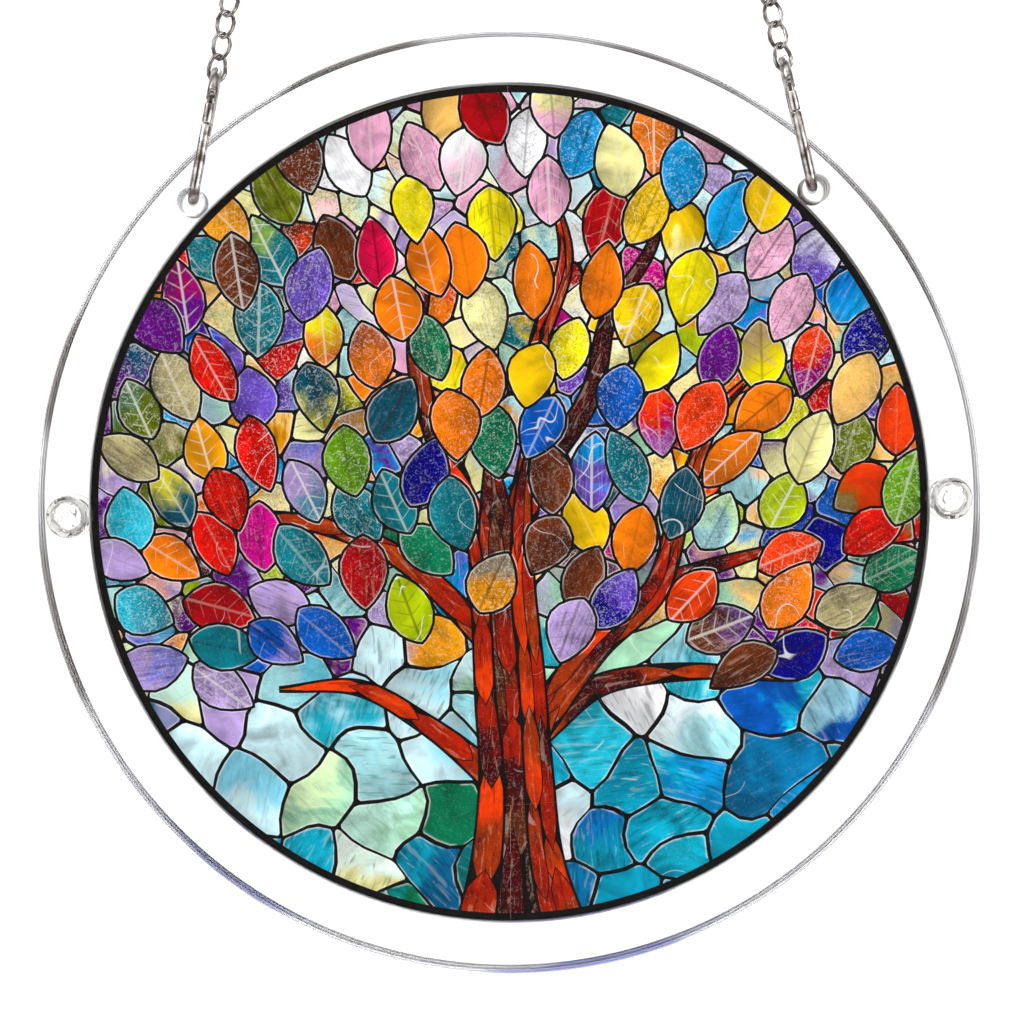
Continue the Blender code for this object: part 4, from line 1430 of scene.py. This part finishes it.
# %% Places of the leaves
LEAF_ROOM_ALONG = 11.4
LEAF_ROOM_ACROSS = 7.7
OPPOSITE_LEANS = 0.3
LEAF_TRIES = 6000
LEAF_RIM_MARGIN = 3
SIDE_REACH = 75
SIDE_LEAN = 0.55
LEAN_SPREAD = 0.28
LOW_LEAN = 0.9
LOW_REACH = 30
CROWN_LEAF_FROM = 0.75
STRAY_LEAF_SHARE = 0.25
BARK_SHOWS = 1.2
BARK_MARGIN = 2.7
OVER_BARK_SHARE = 0.12


def leaf_spacing(place, lean, other, other_lean):
    """How far apart two leaves are, as a share of what they need."""
    gap = place - other
    both = lean + other_lean
    along = both.normalized() if both.length > OPPOSITE_LEANS else lean
    return math.hypot(gap.dot(along) / LEAF_ROOM_ALONG, gap.dot(right_of(along)) / LEAF_ROOM_ACROSS)


def lean_at(place):
    """The direction of leaves at a place: upright in the middle of the crown, outward at the sides."""
    side = max(-1.0, min(1.0, place.x / SIDE_REACH))
    turn = -side * SIDE_LEAN + chance.gauss(0, LEAN_SPREAD)
    if place.y < 0:
        turn -= side * min(1.0, -place.y / LOW_REACH) * LOW_LEAN
    turn += math.pi if chance.random() < 0.5 else 0.0
    return Vector((math.sin(-turn), math.cos(turn)))


def over_bark(place):
    """True where a leaf would hide the middle of one of the thicker branches."""
    rows = [row for line in bark_lines for row in line if row.z > BARK_SHOWS]
    return any((row.xy - place).length < row.z + BARK_MARGIN for row in rows)


def strew_leaves(tries):
    """Places and directions of leaves, with room between them."""
    kept = []
    for _ in range(tries):
        place = random_place(PICTURE_RADIUS - LEAF_RIM_MARGIN)
        share = crown_share(place)
        if share < CROWN_LEAF_FROM and chance.random() > share * STRAY_LEAF_SHARE:
            continue
        if over_bark(place) and chance.random() > OVER_BARK_SHARE:
            continue
        lean = lean_at(place)
        upright = lean if lean.y > 0 else -lean
        if all(leaf_spacing(place, upright, p, u) > 1.0 for p, _, u in kept):
            kept.append((place, lean, upright))
    return kept


leaf_places = strew_leaves(LEAF_TRIES)
print("leaves:", len(leaf_places))

# %% Lay the leaves
LEAF_LENGTHS = (13.0, 16.5)
LEAF_WIDTHS = (8.0, 10.2)
LEAF_FULLNESS = (-0.35, 0.15)
LEAF_SWAY = (-0.9, 0.9)
TWO_COLOUR_SHARE = 0.25


def add_leaf(place, along):
    """One leaf: its colours, its shape and how its glass is worked."""
    colours = area_colours(place, CROWN_AREAS)
    first = chance.choice(colours)
    second = chance.choice(colours) if chance.random() < TWO_COLOUR_SHARE else first
    length, width = chance.uniform(*LEAF_LENGTHS), chance.uniform(*LEAF_WIDTHS)
    fullness, sway = chance.uniform(*LEAF_FULLNESS), chance.uniform(*LEAF_SWAY)
    outline = leaf_outline(place, along, length, width, fullness, sway)
    vein = chance.choice((0.0, 0.35, 0.7, 1.0))
    work = (chance.choice((0.0, 0.0, 0.3, 0.8)), chance.choice((0.0, 0.5, 0.9)), chance.uniform(0.3, 1.0))
    grain = chance.choice((0.15, 0.4, 0.8))
    axis = (place, along, length / 2, width / 2)
    add_pane(outline, (first, second), grain, axis, inner=grow(outline, -EDGE_BAND), vein=vein, work=work)


for place, along, _ in leaf_places:
    add_leaf(place, along)
print("panes in all:", len(panes))

# %% [markdown]
# ## Cutting the drawing into triangles
# One call cuts the plane along every outline at once and says which outlines hold each triangle. The topmost
# outline that holds a triangle gives its colour, and the piece outlines say which piece it belongs to. Round each
# leaf a narrow band of the glass behind it turns pale.

# %% One cut of the plane
RIM_BAND = 1.43
PALE_BAND = 0.2
CUT_PRECISION = 1e-5
LEAST_AREA = 1e-3
flat_points, flat_faces, owners = [], [], []


def lay(outline, kind, number):
    """Lay an outline into the plane, for a part of a pane or for a piece."""
    flat_faces.append(list(range(len(flat_points), len(flat_points) + len(outline))))
    flat_points.extend(outline)
    owners.append((kind, number))


for number, outline in enumerate(piece_outlines):
    lay(outline, "piece", number)
rim_angles = [2 * math.pi * k / RIM_SEGMENTS for k in range(RIM_SEGMENTS)]
lay([at_angle(angle) * (PICTURE_RADIUS - RIM_BAND) for angle in rim_angles], "disc", 0)
for number, pane in enumerate(panes):
    outline, inner, lead = pane["outline"], pane["inner"], pane["lead"]
    if area(outline) < LEAST_AREA or inner and area(inner) < LEAST_AREA:
        print("outline turned:", number, len(outline))
    if lead > BARK_LEAD:
        lay(grow(outline, lead + PALE_BAND), "halo", number)
    if lead:
        lay(grow(outline, lead), "lead", number)
    lay(outline, "black" if pane["black"] else "glass", number)
    if inner:
        lay(inner, "inner", number)
points, _, triangles, _, _, holders = delaunay_2d_cdt(flat_points, [], flat_faces, 1, CUT_PRECISION)
print("points:", len(points), "triangles:", len(triangles))

# %% Sort the triangles into pieces


def sort_triangle(held_by):
    """The piece, the pane, the part of the pane and the paleness of a triangle, from the outlines that hold it."""
    piece = next((owners[h][1] for h in held_by if owners[h][0] == "piece"), None)
    in_disc = any(owners[h][0] == "disc" for h in held_by)
    pale = False
    for h in sorted((h for h in held_by if owners[h][0] not in ("piece", "disc")), reverse=True):
        kind, number = owners[h]
        if kind == "halo":
            pale = True
        elif not in_disc or kind in ("lead", "black"):
            break
        else:
            return piece, number, kind, pale
    return piece, None, "lead", False


piece_triangles = [[] for _ in PUZZLE_NODES]
for triangle, held_by in zip(triangles, holders):
    piece, *rest = sort_triangle(held_by)
    if piece is not None:
        piece_triangles[piece].append((triangle, *rest))
print("triangles kept:", sum(len(t) for t in piece_triangles))

# %% [markdown]
# ## Painted glass
# One material serves every pane. What differs from pane to pane is kept on the mesh: two colours, a seed, how
# pale the pane's edge is, how rough its grain is and how strong its veins are, and a map that runs along the
# leaf. The shader turns these into swirls, hammered grain, veins and small sparkles.

# %% Groups for the glass


def scratch_group():
    """Short curved scratches of light, as on hand-blown glass: where a slow noise passes its middle."""
    group, entry, leave = socket_group("light scratches", [("Vector", "Vector")], [("Mask", "Float")])
    place = entry.outputs["Vector"]
    lines = noise(group, place, 100.0, 0.0, 0.5)
    away = math_node(group, "ABSOLUTE", math_node(group, "SUBTRACT", lines, 0.5))
    patches = noise(group, add_vectors(group, place, (3.1, 7.7, 1.3)), 110.0, 0.0)
    mask = product(group, smooth_fall(group, away, 0.003, 0.009), smooth_step(group, patches, 0.54, 0.60))
    feed(group, leave.inputs["Mask"], mask)
    return group


def hammered_group():
    """The grain of rolled glass: small bright and dark ripples."""
    group, entry, leave = socket_group("rolled grain", [("Vector", "Vector")], [("Grain", "Float")])
    feed(group, leave.inputs["Grain"], noise(group, entry.outputs["Vector"], 1100.0, 2.0, 2.0))
    return group


def streak_group():
    """Light and dark streaks that run along a pane's own map, as in drawn glass and in bark."""
    inputs = [("Vector", "Vector"), ("Seed", "Float")]
    group, entry, leave = socket_group("drawn streaks", inputs, [("Light", "Float"), ("Dark", "Float")])
    values = {"Vector": entry.outputs["Vector"], "Scale": (0.9, 5.5, 1.0)}
    stretched = node(group, "ShaderNodeMapping", values).outputs[0]
    lift = node(group, "ShaderNodeCombineXYZ", {"Z": product(group, entry.outputs["Seed"], 40.0)})
    streaks = noise(group, add_vectors(group, stretched, lift.outputs[0]), 1.6, 3.0, 0.5)
    feed(group, leave.inputs["Light"], smooth_step(group, streaks, 0.55, 0.66))
    feed(group, leave.inputs["Dark"], smooth_fall(group, streaks, 0.34, 0.46))
    return group


def vein_group():
    """A leaf's veins from its own map: a midrib, and side veins that run forward from it."""
    group, entry, leave = socket_group("leaf veins", [("Vector", "Vector")], [("Mask", "Float")])
    own = split_vector(group, entry.outputs["Vector"])
    across = math_node(group, "ABSOLUTE", own["Y"])
    midrib = smooth_fall(group, across, 0.03, 0.09)
    slanted = math_node(group, "SUBTRACT", product(group, own["X"], 2.6), across)
    phase = math_node(group, "ABSOLUTE", math_node(group, "SUBTRACT", math_node(group, "FRACT", slanted), 0.5))
    fading = smooth_fall(group, across, 0.35, 0.85)
    side_vein = product(group, smooth_fall(group, phase, 0.02, 0.09), fading, 0.7)
    feed(group, leave.inputs["Mask"], math_node(group, "MAXIMUM", midrib, side_vein))
    return group


print("glass groups ready")

# %% Painted glass material
SHINE = 0.05
STREAK_LIGHT = (0.95, 0.75, 0.6, 1)
STREAK_DARK = (0.015, 0.008, 0.008, 1)
RIPPLE_LIGHT = (0.95, 0.95, 0.92, 1)
RIPPLE_DARK = (0.01, 0.01, 0.02, 1)
VEIN_DARK = (0.05, 0.02, 0.01, 1)
VEIN_LIGHT = (0.95, 0.93, 0.85, 1)
SCRATCH_LIGHT = (0.97, 0.97, 0.95, 1)
PALE_EDGE = (0.97, 0.96, 0.94, 1)


def attribute(tree, name):
    """A value kept on the mesh, as a node's outputs."""
    return node(tree, "ShaderNodeAttribute", attribute_type="GEOMETRY", attribute_name=name).outputs


def grouped(tree, group, values):
    """The outputs of a group, fed by values."""
    return node(tree, "ShaderNodeGroup", values, node_tree=group).outputs


def split_colour(tree, source):
    """The three parts of a colour."""
    parts = node(tree, "ShaderNodeSeparateColor", {0: source}).outputs
    return parts["Red"], parts["Green"], parts["Blue"]


def painted_glass():
    """The glass of every pane. Each step lays one more feature over the colour so far."""
    mat, tree, shader = material("painted glass", {"Roughness": 0.5, "Specular IOR Level": SHINE})
    first, second = (attribute(tree, name)["Color"] for name in ("glass", "glass_two"))
    traits = attribute(tree, "traits")
    seed, pale, grain = split_colour(tree, traits["Color"])
    streaky, scratched, changing = split_colour(tree, attribute(tree, "work")["Color"])
    seeds = node(tree, "ShaderNodeCombineXYZ", {0: seed, 1: seed, 2: seed}).outputs[0]
    spot = add_vectors(tree, object_place(tree), seeds)
    leaf_map = node(tree, "ShaderNodeUVMap", uv_map="leaf").outputs["UV"]
    own = split_vector(tree, leaf_map)

    swirl = noise(tree, spot, 95.0, 3.0, 1.6)
    swing = product(tree, math_node(tree, "SUBTRACT", swirl, 0.5), 3.2)
    change = smooth_step(tree, math_node(tree, "ADD", own["X"], swing), -0.35, 0.55)
    colour = mix_colour(tree, product(tree, change, changing), first, second)
    for shade in (map_range(tree, swirl, 0.3, 0.7, 0.62, 1.36), map_range(tree, own["Y"], -1.0, 1.0, 0.66, 1.22)):
        colour = mix_colour(tree, 1.0, colour, shade, blend="MULTIPLY")

    streak = grouped(tree, streak_group(), {"Vector": leaf_map, "Seed": seed})
    light = mix_colour(tree, 0.5, colour, STREAK_LIGHT)
    colour = mix_colour(tree, product(tree, streak["Light"], streaky, 0.5), colour, light)
    colour = mix_colour(tree, product(tree, streak["Dark"], streaky, 0.6), colour, STREAK_DARK)

    rolled = grouped(tree, hammered_group(), {"Vector": spot})["Grain"]
    lighten = product(tree, smooth_step(tree, rolled, 0.52, 0.66), grain, 0.42)
    colour = mix_colour(tree, lighten, colour, RIPPLE_LIGHT)
    darken = product(tree, smooth_fall(tree, rolled, 0.34, 0.48), grain, 0.45)
    colour = mix_colour(tree, darken, colour, RIPPLE_DARK)

    veins = grouped(tree, vein_group(), {"Vector": leaf_map})["Mask"]
    is_light = math_node(tree, "GREATER_THAN", seed, 0.5)
    vein_colour = mix_colour(tree, is_light, VEIN_DARK, VEIN_LIGHT)
    colour = mix_colour(tree, product(tree, veins, traits["Alpha"], 0.55), colour, vein_colour)
    scratch = grouped(tree, scratch_group(), {"Vector": spot})["Mask"]
    colour = mix_colour(tree, product(tree, scratch, scratched, 0.75), colour, SCRATCH_LIGHT)
    pale_here = product(tree, pale, smooth_step(tree, swirl, 0.40, 0.56), 0.6)
    colour = mix_colour(tree, pale_here, colour, PALE_EDGE)
    richer = node(tree, "ShaderNodeHueSaturation", {"Saturation": 1.2, "Color": colour})
    feed(tree, shader.inputs["Base Color"], richer.outputs["Color"])
    return mat


glass_paint = painted_glass()
print("glass nodes:", len(glass_paint.node_tree.nodes))

# %% Black line and cut edge


def plain_paint(name, colour, roughness, fleck):
    """Black line paint, or a cut edge: one colour with a fine mottle."""
    mat, tree, shader = material(name, {"Roughness": roughness, "Specular IOR Level": SHINE})
    mottle = noise(tree, object_place(tree), 700.0, 2.0)
    feed(tree, shader.inputs["Base Color"], mix_colour(tree, mottle, colour, fleck))
    return mat


black_line = plain_paint("black line paint", (0.004, 0.003, 0.003, 1), 0.5, (0.012, 0.010, 0.009, 1))
cut_edge = plain_paint("laser cut edge", (0.14, 0.14, 0.14, 1), 0.35, (0.25, 0.25, 0.24, 1))
print("materials:", glass_paint.name, black_line.name, cut_edge.name)

# %% [markdown]
# ## The printed pieces
# Each piece is made from its triangles: they are laid on the plane of the print, given their colours, and
# raised to the thickness of the sheet, so that both faces carry the picture.

# %% Build the pieces
print_low, print_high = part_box(PUZZLE_NODES[0])
MATERIALS = (glass_paint, black_line, cut_edge)
GLASS_SLOT, BLACK_SLOT, EDGE_SLOT = range(len(MATERIALS))
NAME_TAIL = len("piece_01")


def distance_to(outline, place):
    """The distance from a place to an outline."""
    best = math.inf
    for a, b in neighbours(outline):
        run = b - a
        share = max(0.0, min(1.0, (place - a).dot(run) / max(run.length_squared, 1e-12)))
        best = min(best, (place - a - run * share).length)
    return best


def leaf_place(pane, place):
    """A place on a leaf's own map: along it and across it, from -1 to 1."""
    middle, along, half_length, half_width = pane["axis"]
    gap = place - middle
    return gap.dot(along) / half_length, gap.dot(right_of(along)) / half_width


def edge_paleness(pane, part, pale, place):
    """How pale the glass is at a place: fully next to a leaf, and fading inward from a pane's own edge."""
    if part == "glass" and not pale and pane["inner"]:
        return max(0.0, 1.0 - distance_to(pane["outline"], place) / EDGE_BAND)
    return 1.0 if pale else 0.0


def picture_piece(number, node_name):
    """One piece of the puzzle, with its part of the picture."""
    bm = bmesh.new()
    colour_layers = bm.loops.layers.float_color
    glass, glass_two, traits, work = (colour_layers.new(n) for n in ("glass", "glass_two", "traits", "work"))
    leaf_map = bm.loops.layers.uv.new("leaf")
    corners = {}
    for triangle, pane_number, part, pale in piece_triangles[number]:
        for index in triangle:
            if index not in corners:
                spot = points[index] * MM
                corners[index] = bm.verts.new((CENTRE.x + spot.x, print_low.y, CENTRE.z + spot.y))
        face = bm.faces.new([corners[index] for index in triangle])
        face.material_index = BLACK_SLOT if part == "lead" else GLASS_SLOT
        if part == "lead":
            continue
        pane = panes[pane_number]
        for loop, index in zip(face.loops, triangle):
            paleness = edge_paleness(pane, part, pale, points[index])
            loop[glass] = (*pane["colours"][0], 1)
            loop[glass_two] = (*pane["colours"][1], 1)
            loop[traits] = (pane["seed"], paleness, pane["grain"], pane["vein"])
            loop[work] = (*pane["work"], 1)
            loop[leaf_map].uv = leaf_place(pane, points[index])
    raise_faces(bm, print_high.y - print_low.y)
    for face in bm.faces:
        face.normal_update()
        if abs(face.normal.y) < 0.5:
            spot = face.calc_center_median() - CENTRE
            on_rim = math.hypot(spot.x, spot.z) / MM > PICTURE_RADIUS - RIM_BAND
            face.material_index = BLACK_SLOT if on_rim else EDGE_SLOT
    return finish_piece(f"picture_{node_name[-NAME_TAIL:]}", bm, MATERIALS, nodes=(node_name,), smooth_angle=0)


picture_faces = [len(picture_piece(i, name).data.polygons) for i, name in enumerate(PUZZLE_NODES)]
print("picture faces:", sum(picture_faces), "largest piece:", max(picture_faces))

# %% [markdown]
# ## Finish

# %% End
print("scene dressed")
